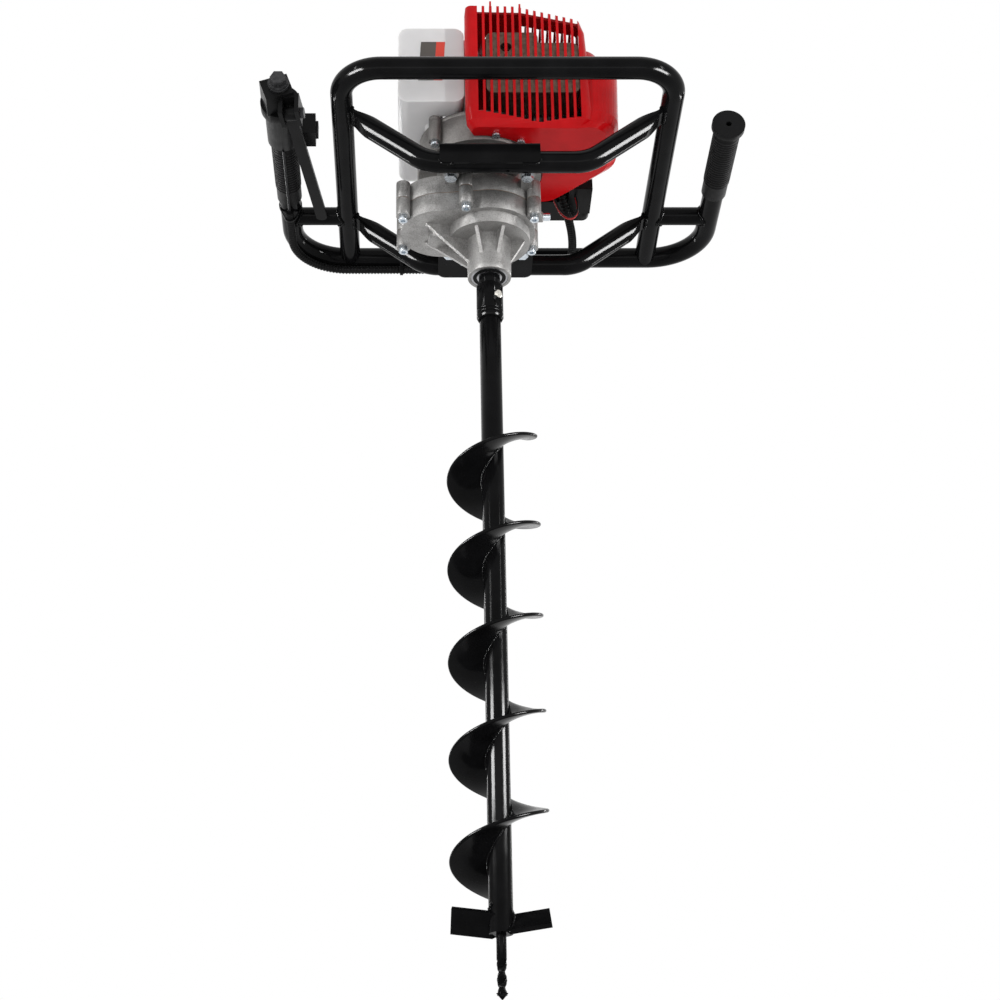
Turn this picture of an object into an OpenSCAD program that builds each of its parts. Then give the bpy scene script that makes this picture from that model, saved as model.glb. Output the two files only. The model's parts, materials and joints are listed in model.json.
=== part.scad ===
// One-man petrol earth auger: bit, gearbox, vertical-crank engine and tubular frame.
// Sizes are in millimetres; Z runs up the auger axis from the pilot tip at the origin.

/* [Auger bit] */
// length from pilot tip to the top of the socket
bit_len = 800; // [740:5:860]
// outside diameter of the flight
flight_d = 100; // [84:2:120]
// rise of the flight in one turn
flight_pitch = 105; // [98:1:112]
// vertical thickness of the flight plate
flight_t = 4; // [3:0.5:6]
// height of the upper end of the flight
flight_top = 612; // [560:4:640]
// diameter of the stem tube
stem_d = 24; // [21:0.5:27]
// diameter of the drive socket
socket_d = 30; // [28.5:0.5:34]
// length of the drive socket
socket_len = 44; // [40:1:60]
// diameter of the pilot drill
pilot_d = 10; // [7:0.5:12]
// width of a cutting blade
blade_chord = 28; // [20:1:32]
// thickness of a cutting blade
blade_t = 5; // [3:0.5:7]
// pitch angle of the blades
blade_angle = 46; // [38:1:55]
// rise of the blades from the stem outwards, in degrees
blade_rise = 8; // [0:1:12]
// turn of the blades about the stem, in degrees
blade_turn = -6; // [-20:1:20]

/* [Output drive] */
// diameter of the drive pin
pin_d = 10; // [6:0.5:11]
// distance of the pin below the socket rim
pin_drop = 16; // [12:1:20]
// direction of the pin round the axis
pin_angle = -52; // [-80:2:80]
// bare shaft between socket and boss
boss_gap = 12; // [8:1:24]

/* [Gearbox] */
// diameter of the output boss
boss_d = 49; // [47:0.5:56]
// height of the output boss
boss_h = 46; // [42:1:56]
// diameter of the round step round the boss
step_d = 94; // [84:2:98]
// height of the round step
step_h = 14; // [13:1:18]
// depth of the lower half below the parting line
lower_h = 24; // [22.5:0.5:30]
// thickness of the gasket
gasket_t = 0.6; // [0.4:0.1:1]
// height of the upper half
upper_h = 23; // [22.5:0.5:28]
// thickness of the casting wall
case_wall = 5; // [4:0.5:7]

/* [Frame] */
// diameter of the frame tubes
tube_d = 25; // [22:0.5:26]
// wall thickness of the frame tubes
tube_wall = 2; // [1.5:0.25:3]
// width of the handlebar between tube centres
handle_w = 509; // [499:2:529]
// distance from a side of the front loop to the handlebar beside it, between tube centres
arm_gap = 69; // [66:0.5:74]
// sideways offset of the frame centre
frame_x = 19; // [15:1:23]
// distance of the front bar from the auger axis
front_y = 165; // [152:1:190]
// distance of the rear bar from the auger axis
rear_y = 210; // [205:1:225]
// bend radius of the front loop
loop_r = 45; // [35:1:60]
// bend radius of the handlebar
handle_r = 66; // [58:1:72]
// height of the frame plane above the boss face
frame_lift = 166; // [162:1:170]
// distance of the front cradle tube
cradle_front = 90; // [87:1:96]
// distance of the rear cradle tube
cradle_rear = 118; // [110:1:124]
// thickness of the bracket plates
plate_t = 4; // [3:0.5:5]

/* [Grips] */
// diameter of the grip body
grip_d = 31; // [29:0.5:34]
// length of the right grip
grip_len = 133; // [110:1:140]
// diameter of the grip end flange
flange_d = 38; // [35:0.5:44]
// diameter of the hole in the grip end
vent_d = 6.5; // [4:0.5:9]

/* [Throttle] */
// length of the throttle lever
lever_len = 205; // [170:5:215]
// width of the throttle lever
lever_w = 13; // [9:0.5:14]
// thickness of the throttle lever
lever_t = 5; // [3:0.5:6]
// diameter of the conduit ribs
conduit_d = 10.4; // [8:0.2:11]
// length of one conduit rib
conduit_rib = 4; // [3.8:0.2:6]

/* [Engine] */
// radius of the clutch housing
clutch_r = 50; // [48:0.5:54]
// radius of the fan case
fan_r = 71; // [66:0.5:72]
// radius of the flywheel
flywheel_r = 54; // [46:1:60]
// radius of the crankcase
crankcase_r = 36; // [33:0.5:38]
// size of the square cylinder fins
fin_size = 74; // [64:1:76]
// thickness of a cylinder fin
fin_t = 2.6; // [1.8:0.2:3.6]
// wall thickness of the shroud
shroud_t = 3; // [2:0.25:4]
// width of one shroud slot
slot_w = 5.4; // [4:0.2:6.4]
// spacing of the shroud slots
slot_pitch = 8.5; // [8:0.25:9]
// depth of the grille's ribs
rib_deep = 6; // [5:0.25:6.5]
// radius of the starter cover
starter_r = 50; // [46:0.5:51]
// height of the starter cover
starter_h = 40; // [36:1:46]
// wall thickness of the fuel tank
tank_wall = 2.5; // [1.5:0.25:4]
// diameter of the fuel cap
cap_d = 42; // [38:1:46]
// length of the air filter box
filter_w = 66; // [56:1:72]

/* [Fits] */
// radial clearance of running fits
run_fit = 0.05; // [0.02:0.01:0.1]
// radial gap left at welded joints
weld_gap = 0.12; // [0.08:0.02:0.2]

/* [Hidden] */
$fn = 64;
e = 0.01;

// gear train
m1 = 1;
z1 = 12;
z2 = 78;
m2 = 1.5;
z3 = 12;
z4 = 60;
lay_x = -m2 * (z3 + z4) / 2;
eng_x = lay_x + m1 * (z1 + z2) / 2;

// bearings, bore radius, outer radius and width
b4_i = 10;
b4_o = 21;
b4_w = 12;
b0_i = 5;
b0_o = 13;
b0_w = 8;
b2_i = 7.5;
b2_o = 17.5;
b2_w = 11;
shaft_r = b4_i - run_fit;

// heights of the gearbox
boss_z = bit_len + boss_gap;
step_z = boss_z + boss_h;
body_z = step_z + step_h;
part_z = body_z + lower_h;
up_z = part_z + gasket_t;
top_z = up_z + upper_h;
floor_z = body_z + 3.5;
roof_z = top_z - 11.5;
gear_z = part_z - 18;
wheel_z = part_z + 1.4;
lug_x = 43;
lug_cx = -1;
lug_y = 67;

// heights of the engine
clutch_top = top_z + 33;
fan_top = clutch_top + 36;
case_z = fan_top + 5;
cyl_z = case_z + 47;
case_top = case_z + 86;
chamber_r = 28;
cyl_x0 = eng_x + crankcase_r;
cyl_x1 = cyl_x0 + 70;

// heights of the frame
frame_z = boss_z + frame_lift;
cradle_z = top_z - tube_d / 2 - weld_gap;
rear_pz = cradle_z - tube_d / 2 - weld_gap;
tr = tube_d / 2;
handle_x = handle_w / 2;
loop_x = handle_x - arm_gap;
left_x = frame_x - handle_x;
right_x = frame_x + handle_x;
grip_y = -62;
cradle_half = 90;

// sizes of the gear case in plan
r_out_gear = m2 * z4 / 2;
r_wheel = m1 * z2 / 2;
case_r0 = r_out_gear + 3.2;
case_r1 = r_wheel + 2.8;
boss_r = boss_d / 2;
step_r = step_d / 2;
lug_r = 8;
screw_pts = [for (s = [-1, 1])
    each [[(case_r0 + case_wall + 7.3) * cos(33 * s), (case_r0 + case_wall + 7.3) * sin(33 * s)],
        [lay_x - (case_r1 + case_wall + 7.3) * cos(36 * s), (case_r1 + case_wall + 7.3) * sin(36 * s)],
        [lay_x / 2, s * ((case_r0 + case_r1) / 2 + case_wall + 5.5)]]];

// heights of the bit
blade_z = 71;
stem_z0 = 63;
stem_z1 = bit_len - socket_len + 14;
flight_low = blade_z + blade_chord / 2 * sin(blade_angle) + blade_t / 2 + flight_t / 2 + 9.5
    + flight_d / 2 * sin(blade_rise);
pin_z = bit_len - pin_drop;

// point on a circle
function pol(r, a) = [r * cos(a), r * sin(a)];

// outline of a spur gear with slim teeth
module gear2d(m, z) {
    rp = m * z / 2;
    pa = 360 / z;
    polygon([for (i = [0:z - 1]) each [pol(rp - 1.12 * m, (i - 0.30) * pa), pol(rp, (i - 0.2) * pa),
        pol(rp + 0.8 * m, (i - 0.09) * pa), pol(rp + 0.8 * m, (i + 0.09) * pa),
        pol(rp, (i + 0.2) * pa), pol(rp - 1.12 * m, (i + 0.30) * pa)]]);
}

// how far the flat sides of the gear case lie inside its round ends
side_in = 0.3;

// outline of the gear case grown by a wall
module case2d(w) {
    r0 = case_r0 + w;
    r1 = case_r1 + w;
    k = (r0 - r1) / lay_x;
    c = sqrt(1 - k * k);
    s0 = r0 - side_in;
    s1 = r1 - side_in;
    circle(r0);
    translate([lay_x, 0])
        circle(r1);
    polygon([[s0 * k, s0 * c], [lay_x + s1 * k, s1 * c], [lay_x + s1 * k, -s1 * c], [s0 * k, -s0 * c]]);
}

// plate with round corners
module round_plate(x0, x1, y0, y1, r, h) {
    translate([x0 + r, y0, 0])
        cube([x1 - x0 - 2 * r, y1 - y0, h]);
    translate([x0, y0 + r, 0])
        cube([x1 - x0, y1 - y0 - 2 * r, h]);
    for (x = [x0 + r, x1 - r], y = [y0 + r, y1 - r])
        translate([x, y, 0])
            cylinder(r = r, h = h);
}

// ring
module ring(ro, ri, h) {
    difference() {
        cylinder(r = ro, h = h);
        translate([0, 0, -1])
            cylinder(r = ri, h = h + 2);
    }
}

// ball bearing with sealed faces
module bearing(ri, ro, w) {
    t = (ro - ri) * 0.24;
    rotate_extrude()
        polygon([[ri, 0], [ri + t, 0], [ri + t, 0.8], [ro - t, 0.8], [ro - t, 0], [ro, 0], [ro, w],
            [ro - t, w], [ro - t, w - 0.8], [ri + t, w - 0.8], [ri + t, w], [ri, w]]);
}

// drive socket with crimped lower end and cross hole
module auger_socket() {
    z0 = bit_len - socket_len;
    color("#1a1a1c")
        difference() {
            translate([0, 0, z0]) {
                cylinder(r1 = socket_d / 2 - 1.6, r2 = socket_d / 2, h = 3);
                translate([0, 0, 3])
                    cylinder(d = socket_d, h = socket_len - 3);
            }
            translate([0, 0, z0 - 1])
                cylinder(r = stem_d / 2 + weld_gap, h = 15);
            translate([0, 0, z0 + 13.5])
                cylinder(r = shaft_r + run_fit, h = socket_len);
            for (z = [6, 10])
                translate([0, 0, z0 + z])
                    ring(socket_d / 2 + 2, socket_d / 2 - 0.5, 1);
            translate([0, 0, pin_z])
                rotate([0, 90, pin_angle])
                    cylinder(r = pin_d / 2 + 0.05, h = 90, center = true);
        }
}

// stem tube
module auger_tube() {
    color("#1a1a1c")
        difference() {
            translate([0, 0, stem_z0])
                cylinder(d = stem_d, h = stem_z1 - stem_z0);
            translate([0, 0, stem_z0 - 1])
                cylinder(r = pilot_d / 2 + weld_gap, h = 60);
            translate([0, 0, stem_z0 + 30])
                cylinder(r = stem_d / 2 - 3.2, h = bit_len);
        }
}

// helical flight, swept as an upright strip round the stem
module auger_flight() {
    n = ceil((flight_top - flight_low) / flight_pitch * 40);
    ri = stem_d / 2 + weld_gap + 0.05;
    ro = flight_d / 2;
    pts = [for (i = [0:n]) let (z = flight_low + (flight_top - flight_low) * i / n,
        a = 17 + (z - flight_top) / flight_pitch * 360, q = i > n - 4 ? 2 * (i - n + 4) : 0)
        each [[ri * cos(a), ri * sin(a), z - flight_t / 2],
            [(ro - q) * cos(a), (ro - q) * sin(a), z - flight_t / 2],
            [(ro - q) * cos(a), (ro - q) * sin(a), z + flight_t / 2],
            [ri * cos(a), ri * sin(a), z + flight_t / 2]]];
    sides = [for (i = [0:n - 1], j = [0:3]) let (a = 4 * i + j, b = 4 * i + (j + 1) % 4)
        each [[b, a + 4, a], [b + 4, a + 4, b]]];
    color("#1a1a1c")
        polyhedron(points = pts, faces = concat(sides, [[2, 1, 0], [3, 2, 0],
            [4 * n, 4 * n + 1, 4 * n + 2], [4 * n, 4 * n + 2, 4 * n + 3]]), convexity = 20);
}

// two pitched cutting blades
module cutting_blades() {
    color("#1a1a1c")
        for (a = [0, 180])
            rotate([0, 0, a + blade_turn])
                difference() {
                    translate([0, 0, blade_z])
                        rotate([0, -blade_rise, 0])
                            rotate([blade_angle, 0, 0])
                                translate([3, -blade_chord / 2, -blade_t / 2])
                                    cube([flight_d / 2 - 4, blade_chord, blade_t]);
                    translate([0, 0, stem_z0 - 30])
                        cylinder(r = stem_d / 2 + weld_gap, h = 90);
                }
}

// pilot drill with a twisted point
module pilot_drill() {
    color("#1a1a1c") {
        translate([0, 0, 38])
            cylinder(d = pilot_d, h = stem_z0 + 20 - 38);
        translate([0, 0, 4])
            linear_extrude(height = 35, twist = -420, slices = 28, $fn = 6)
                polygon([for (q = [[0.36, 0.27], [-0.36, 0.27], [-0.5, 0],
                                   [-0.36, -0.27], [0.36, -0.27], [0.5, 0]])
                    q * pilot_d]);
        intersection() {
            cylinder(r1 = 0.6, r2 = pilot_d * 0.58, h = 6);
            translate([-pilot_d, -pilot_d * 0.3, -1])
                cube([2 * pilot_d, pilot_d * 0.6, 8]);
        }
    }
}

// cross pin through socket and shaft
module drive_pin() {
    color("#c8c8c8")
        translate([0, 0, pin_z])
            rotate([0, 90, pin_angle]) {
                cylinder(d = pin_d, h = socket_d + 1.5, center = true);
                for (s = [-1, 1])
                    translate([0, 0, s * (socket_d / 2 + 0.75) - (s < 0 ? 1 : 0)])
                        cylinder(r1 = pin_d / 2 - (s < 0 ? 1 : 0), r2 = pin_d / 2 - (s > 0 ? 1 : 0), h = 1);
            }
}

// output shaft with a cross hole and a gear seat
module output_shaft() {
    z0 = stem_z1 + 0.5;
    color("#8d8f92")
        difference() {
            translate([0, 0, z0])
                cylinder(r = shaft_r, h = gear_z + 12 - z0);
            translate([0, 0, pin_z])
                rotate([0, 90, pin_angle])
                    cylinder(r = pin_d / 2 + 0.05, h = 60, center = true);
            translate([0, 0, bit_len + 3])
                ring(shaft_r + 3, shaft_r - 1.2, 2);
        }
}

// large output gear
module output_gear() {
    color("#8d8f92")
        translate([0, 0, gear_z])
            difference() {
                union() {
                    linear_extrude(height = 10)
                        gear2d(m2, z4);
                    translate([0, 0, -2])
                        cylinder(r = 17, h = 13.5);
                }
                translate([0, 0, -5])
                    cylinder(r = shaft_r + run_fit, h = 30);
                for (a = [0:60:300])
                    rotate([0, 0, a + 30])
                        translate([28, 0, -1])
                            cylinder(r = 7, h = 12);
            }
}

// layshaft with its pinion and large wheel in one piece
module layshaft() {
    color("#8d8f92")
        translate([lay_x, 0, 0]) {
            translate([0, 0, body_z - 7])
                cylinder(r = b0_i - run_fit, h = roof_z + b0_w - body_z + 7);
            translate([0, 0, body_z + 1.4])
                cylinder(r = 6.6, h = roof_z - body_z - 1.8);
            translate([0, 0, gear_z - 0.6])
                rotate([0, 0, 15])
                    linear_extrude(height = 11)
                        gear2d(m2, z3);
            translate([0, 0, wheel_z])
                linear_extrude(height = 8)
                    gear2d(m1, z2);
        }
}

// input pinion on the clutch drum shaft
module input_pinion() {
    color("#8d8f92")
        translate([eng_x, 0, 0]) {
            translate([0, 0, wheel_z - 1])
                rotate([0, 0, 15])
                    linear_extrude(height = 9.6)
                        gear2d(m1, z1);
            translate([0, 0, wheel_z + 8])
                cylinder(r = b0_i - run_fit, h = top_z + 14 - wheel_z - 8);
        }
}

// clutch drum
module clutch_drum() {
    color("#6d6e70")
        translate([eng_x, 0, top_z + 12.6])
            difference() {
                cylinder(r = 40, h = 20);
                translate([0, 0, 2.4])
                    cylinder(r = 37.6, h = 30);
                translate([0, 0, -1])
                    cylinder(r = b0_i, h = 10);
            }
}

// lower gear case with boss, ribs and screw lugs
module gearbox_lower() {
    color("#a9aaab")
        difference() {
            union() {
                translate([0, 0, boss_z])
                    cylinder(r1 = boss_r, r2 = boss_r + 1.5, h = boss_h + 1);
                translate([0, 0, step_z])
                    cylinder(r = step_r, h = step_h + 1);
                translate([0, 0, body_z])
                    linear_extrude(height = lower_h)
                        case2d(case_wall);
                translate([lay_x, 0, body_z - 11])
                    cylinder(r = b0_o + 2.4, h = 12);
                for (p = screw_pts)
                    translate([p[0], p[1], part_z - 22])
                        cylinder(r = lug_r, h = 22);
                for (a = [-112, -68, -8, 62, 118])
                    rotate([90, 0, a])
                        translate([0, 0, -2])
                            linear_extrude(height = 4)
                                polygon([[boss_r - 4, boss_z + 12], [step_r - 5, step_z + 1],
                                         [boss_r - 4, step_z + 1]]);
                for (a = [166, 196])
                    rotate([90, 0, a])
                        translate([0, 0, -2.5])
                            linear_extrude(height = 5)
                                polygon([[boss_r - 4, boss_z + 14], [boss_r + 52, body_z + 1],
                                         [boss_r - 4, body_z + 1]]);
            }
            translate([0, 0, floor_z])
                linear_extrude(height = 60)
                    case2d(0);
            translate([0, 0, boss_z - 1])
                cylinder(r = b4_o + 0.04, h = 2 + b4_w);
            translate([0, 0, boss_z])
                cylinder(r = 17, h = 80);
            translate([0, 0, floor_z - 2 - b4_w])
                cylinder(r = b4_o + 0.04, h = 40);
            translate([lay_x, 0, body_z - b0_w])
                cylinder(r = b0_o + 0.04, h = 30);
            for (p = screw_pts)
                translate([p[0], p[1], part_z - 40])
                    cylinder(r = 3.2, h = 60);
        }
}

// gasket between the halves
module gearbox_gasket() {
    color("#5a3a22")
        translate([0, 0, part_z])
            linear_extrude(height = gasket_t)
                difference() {
                    union() {
                        case2d(case_wall);
                        for (p = screw_pts)
                            translate(p)
                                circle(r = lug_r);
                    }
                    case2d(0);
                    for (p = screw_pts)
                        translate(p)
                            circle(r = 3.2);
                }
}

// upper gear case with frame lugs
module gearbox_upper() {
    color("#a9aaab")
        difference() {
            union() {
                translate([0, 0, up_z])
                    linear_extrude(height = upper_h)
                        case2d(case_wall);
                for (p = screw_pts)
                    translate([p[0], p[1], up_z])
                        cylinder(r = lug_r, h = upper_h - 1);
                for (s = [-1, 1]) {
                    translate([lug_cx + s * lug_x, -lug_y, top_z - 14])
                        cylinder(r = 9, h = 14);
                    translate([lug_cx + s * lug_x - 6, -lug_y, top_z - 12])
                        cube([12, 45, 12]);
                    translate([lug_cx + s * lug_x, lug_y, rear_pz])
                        cylinder(r = 9, h = 18);
                    translate([lug_cx + s * lug_x - 6, lug_y - 45, up_z + 1])
                        cube([12, 45, 12]);
                }
            }
            translate([0, 0, up_z - 1])
                linear_extrude(height = roof_z - up_z + 1)
                    case2d(0);
            translate([lay_x, 0, roof_z - 1])
                cylinder(r = b0_o + 0.04, h = b0_w + 1.4);
            translate([eng_x, 0, roof_z - 1])
                cylinder(r = b0_o + 0.04, h = b0_w + 1.2);
            translate([eng_x, 0, roof_z])
                cylinder(r = 9, h = 40);
            for (p = screw_pts)
                translate([p[0], p[1], up_z - 1])
                    cylinder(r = 3.05, h = 16);
            for (s = [-1, 1]) {
                translate([lug_cx + s * lug_x, -lug_y, top_z - 40])
                    cylinder(r = 4.2, h = 60);
                translate([lug_cx + s * lug_x, lug_y, rear_pz - 1])
                    cylinder(r = 4.05, h = 16);
            }
        }
}

// socket-head screws of the gear case and the side plug
module gearbox_screws() {
    color("#c2c4c6")
        for (p = screw_pts)
            translate([p[0], p[1], part_z - 28]) {
                difference() {
                    cylinder(r = 5, h = 6);
                    translate([0, 0, -1])
                        cylinder(r = 2.8, h = 4, $fn = 6);
                }
                translate([0, 0, 5])
                    cylinder(r = 3, h = 23 + gasket_t + 13);
            }
}

// two large bearings of the output shaft
module output_bearings() {
    color("#2b2b2d")
        for (z = [boss_z + 0.6, floor_z - 2 - b4_w])
            translate([0, 0, z])
                bearing(b4_i, b4_o, b4_w);
}

// four small bearings of layshaft and input shaft
module small_bearings() {
    color("#9a9c9f")
        for (p = [[lay_x, body_z - b0_w], [lay_x, roof_z], [eng_x, roof_z], [eng_x, top_z + 3]])
            translate([p[0], 0, p[1]])
                bearing(b0_i, b0_o, b0_w);
}

// clutch housing with front lugs over the frame plate
module clutch_housing() {
    z0 = top_z + plate_t;
    color("#a9aaab")
        difference() {
            union() {
                translate([eng_x, 0, top_z])
                    cylinder(r = clutch_r, h = clutch_top - top_z);
                for (s = [-1, 1]) {
                    a = atan2(-lug_y, lug_cx + s * lug_x - eng_x);
                    translate([lug_cx + s * lug_x, -lug_y, z0])
                        cylinder(r = 9, h = 16);
                    translate([eng_x, 0, z0])
                        rotate([0, 0, a])
                            translate([clutch_r - 3, -7, 0])
                                cube([norm([lug_y, lug_cx + s * lug_x - eng_x]) - clutch_r + 3, 14, 14]);
                }
            }
            translate([eng_x, 0, top_z + 4])
                difference() {
                    cylinder(r = clutch_r - 5, h = 60);
                    translate([0, 0, -1])
                        cylinder(r = b0_o + 4, h = 8.4);
                }
            translate([eng_x, 0, top_z - 1])
                cylinder(r = 9, h = 30);
            translate([eng_x, 0, top_z + 3])
                cylinder(r = b0_o + 0.04, h = 30);
            for (s = [-1, 1])
                translate([lug_cx + s * lug_x, -lug_y, z0 - 1])
                    cylinder(r = 4.05, h = 14);
        }
}

// centrifugal clutch, hub and two shoes
module clutch_shoes() {
    color("#5c5d60")
        translate([eng_x, 0, top_z + 17]) {
            ring(15.8, b2_i, 13);
            difference() {
                ring(36.4, 16, 13);
                translate([-40, -3, -1])
                    cube([80, 6, 20]);
            }
        }
}

// bolts that hold the gear case to the frame plates
module frame_bolts() {
    color("#c2c4c6")
        for (s = [-1, 1]) {
            translate([lug_cx + s * lug_x, -lug_y, top_z - 19.5]) {
                cylinder(r = 7, h = 5.5, $fn = 6);
                cylinder(r = 4, h = 19.5 + plate_t + 11);
            }
            translate([lug_cx + s * lug_x, lug_y, rear_pz - plate_t - 5.5]) {
                cylinder(r = 7, h = 5.5, $fn = 6);
                cylinder(r = 4, h = 5.5 + plate_t + 13);
            }
        }
}

// positions of the fan case rim bosses and of the shroud screws
rim_a = [226, 75, 150];
rim_r = fan_r + 4.8;
shroud_a = [-78, -55];
shroud_sr = fan_r + 7.5;
shroud_z = clutch_top + 3.4;

// fan case
module fan_case() {
    color("#a9aaab")
        translate([eng_x, 0, clutch_top])
            difference() {
                union() {
                    cylinder(r = fan_r, h = fan_top - clutch_top);
                    for (a = rim_a)
                        rotate([0, 0, a])
                            translate([rim_r, 0, 8])
                                cylinder(r = 7, h = fan_top - clutch_top - 8.2);
                    for (a = shroud_a)
                        rotate([0, 0, a]) {
                            translate([shroud_sr, 0, 3.4 + shroud_t])
                                cylinder(r = 5.5, h = 14);
                            translate([fan_r - 2, -4, 3.4 + shroud_t])
                                cube([9.5, 8, 14]);
                        }
                }
                translate([0, 0, 3])
                    cylinder(r = fan_r - 3.5, h = 60);
                translate([0, 0, -1])
                    cylinder(r = 34, h = 20);
                for (a = shroud_a)
                    rotate([0, 0, a])
                        translate([shroud_sr, 0, 0])
                            cylinder(r = 2.55, h = 18);
                for (a = rim_a)
                    rotate([0, 0, a])
                        translate([rim_r, 0, -1])
                            cylinder(r = 2.7, h = 60);
                translate([40, -26, 16])
                    cube([60, 52, 60]);
            }
}

// flywheel with fan blades
module flywheel() {
    color("#8a8b8d")
        translate([eng_x, 0, clutch_top + 7])
            difference() {
                union() {
                    cylinder(r = 16, h = 26);
                    translate([0, 0, 17])
                        cylinder(r = flywheel_r - 4, h = 6);
                    for (a = [0:24:359])
                        rotate([0, 0, a])
                            translate([flywheel_r - 24, -1.2, 0])
                                cube([24, 2.4, 20]);
                }
                translate([0, 0, -1])
                    cylinder(r = b2_i, h = 60);
            }
}

// crankcase with flange, bearing seats and cylinder face
module crankcase() {
    color("#b0b1b2")
        difference() {
            union() {
                translate([eng_x, 0, fan_top])
                    cylinder(r = fan_r, h = case_z - fan_top);
                for (a = rim_a)
                    translate([eng_x, 0, fan_top])
                        rotate([0, 0, a])
                            translate([rim_r, 0, 0.2])
                                cylinder(r = 7, h = case_z - fan_top - 0.7);
                translate([eng_x, 0, case_z - 1])
                    cylinder(r = crankcase_r, h = case_top - case_z + 1);
                translate([eng_x, -33, cyl_z - 33])
                    cube([crankcase_r, 66, 66]);
            }
            translate([eng_x, 0, cyl_z - 20])
                cylinder(r = chamber_r, h = 40);
            translate([eng_x, 0, cyl_z - 32])
                cylinder(r = b2_o + 0.04, h = 64);
            translate([eng_x, 0, fan_top - 1])
                cylinder(r = 10, h = 150);
            translate([eng_x, 0, cyl_z])
                rotate([0, 90, 0])
                    cylinder(r = 22.4, h = 100);
            for (a = rim_a)
                translate([eng_x, 0, fan_top - 1])
                    rotate([0, 0, a])
                        translate([rim_r, 0, 0])
                            cylinder(r = 2.7, h = 20);
        }
}

// two main bearings of the crankshaft
module crank_bearings() {
    color("#9a9c9f")
        for (z = [cyl_z - 32, cyl_z + 32 - b2_w])
            translate([eng_x, 0, z])
                bearing(b2_i, b2_o, b2_w);
}

// crankshaft with webs and crankpin
module crankshaft() {
    color("#8d8f92")
        translate([eng_x, 0, 0]) {
            translate([0, 0, top_z + 16.5])
                cylinder(r = b2_i - run_fit, h = cyl_z - 8 - top_z - 16.5);
            translate([0, 0, cyl_z + 8])
                cylinder(r = b2_i - run_fit, h = case_top + 16 - cyl_z - 8);
            for (z = [-18, 7])
                translate([0, 0, cyl_z + z])
                    cylinder(r = 26, h = 11);
            translate([15, 0, cyl_z - 9])
                cylinder(r = 7, h = 18);
        }
}

// places on the engine
port_x = cyl_x0 + 42;
carb_y = 88;
box_x0 = port_x - 11;
box_x1 = box_x0 + 4 + filter_w;
box_z0 = case_z - 16;
box_z1 = box_z0 + 100;
tank_x = eng_x - 95;
tank_z = case_z + 6.5;
neck = [eng_x - 67, 34, tank_z + 72];

// finned cylinder with ports and plug hole
module cylinder_head() {
    color("#b0b1b2")
        difference() {
            union() {
                translate([cyl_x0, 0, cyl_z])
                    rotate([0, 90, 0])
                        cylinder(r = 27, h = 70);
                translate([cyl_x0, -30, cyl_z - 30])
                    cube([6, 60, 60]);
                intersection() {
                    for (i = [0:8])
                        let (f = fin_size / 2 - (i == 0 ? 14 : i > 5 ? 7 * (i - 5) : 2))
                            translate([cyl_x0 + 12 + 7 * i, -f, cyl_z - f])
                                cube([fin_t, 2 * f, 2 * f]);
                    translate([cyl_x0, 0, cyl_z])
                        rotate([0, 90, 0])
                            cylinder(r = fin_size * 0.64, h = 90);
                }
                translate([port_x - 16, -48, cyl_z - 17])
                    cube([32, 96, 34]);
            }
            translate([cyl_x0 - 1, 0, cyl_z])
                rotate([0, 90, 0])
                    cylinder(r = 22, h = 53);
            translate([port_x, 0, cyl_z])
                rotate([90, 0, 0])
                    cylinder(r = 9, h = 120, center = true);
            translate([cyl_x0 + 40, 0, cyl_z])
                rotate([0, 90, 0])
                    cylinder(r = 7.1, h = 60);
        }
}

// spark plug
module spark_plug() {
    color("#d8d8d4")
        translate([cyl_x1 - 16, 0, cyl_z])
            rotate([0, 90, 0]) {
                cylinder(r = 7, h = 18);
                translate([0, 0, 17.2])
                    cylinder(r = 9.5, h = 7, $fn = 6);
                translate([0, 0, 23])
                    cylinder(r = 5, h = 16.6);
            }
}

// rubber boot over the plug
module plug_boot() {
    color("#1c1c1e")
        translate([cyl_x1 + 12, 0, cyl_z])
            difference() {
                union() {
                    rotate([0, 90, 0])
                        cylinder(r = 7.5, h = 15);
                    translate([9, 0, -22])
                        cylinder(r = 5.5, h = 22);
                }
                translate([-1, 0, 0])
                    rotate([0, 90, 0])
                        cylinder(r = 5.1, h = 13);
            }
}

// pressed box muffler with a stepped top
module muffler() {
    z0 = cyl_z - 37;
    color("#8a7a66")
        difference() {
            translate([0, -48, 0])
                rotate([90, 0, 0]) {
                    round_plate(port_x - 72, port_x + 34, z0, cyl_z + 34, 8, 42);
                    translate([0, 0, 5])
                        round_plate(port_x - 72, port_x - 12, z0, cyl_z + 49, 8, 37);
                }
            translate([0, -50, 0])
                rotate([90, 0, 0])
                    round_plate(port_x - 70, port_x + 32, z0 + 2, cyl_z + 32, 6, 38);
            translate([port_x, -30, cyl_z])
                rotate([90, 0, 0])
                    cylinder(r = 9, h = 30);
            translate([port_x - 49, -80, cyl_z + 28])
                rotate([90, 0, 0])
                    cylinder(r = 6.5, h = 30);
        }
}

// solid over round corners of [x, y, radius, height], drawn in by a wall
module shroud_hull(corners, w, front) {
    hull()
        for (c = corners)
            translate([c[0], c[1] + (c[1] < -73 ? front : 0),
                       shroud_z + c[3] + (c[3] < 10 ? w : c[3] > 100 ? -w : 0)])
                cylinder(r = c[2] - w, h = 0.6, $fn = 40);
}

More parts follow.
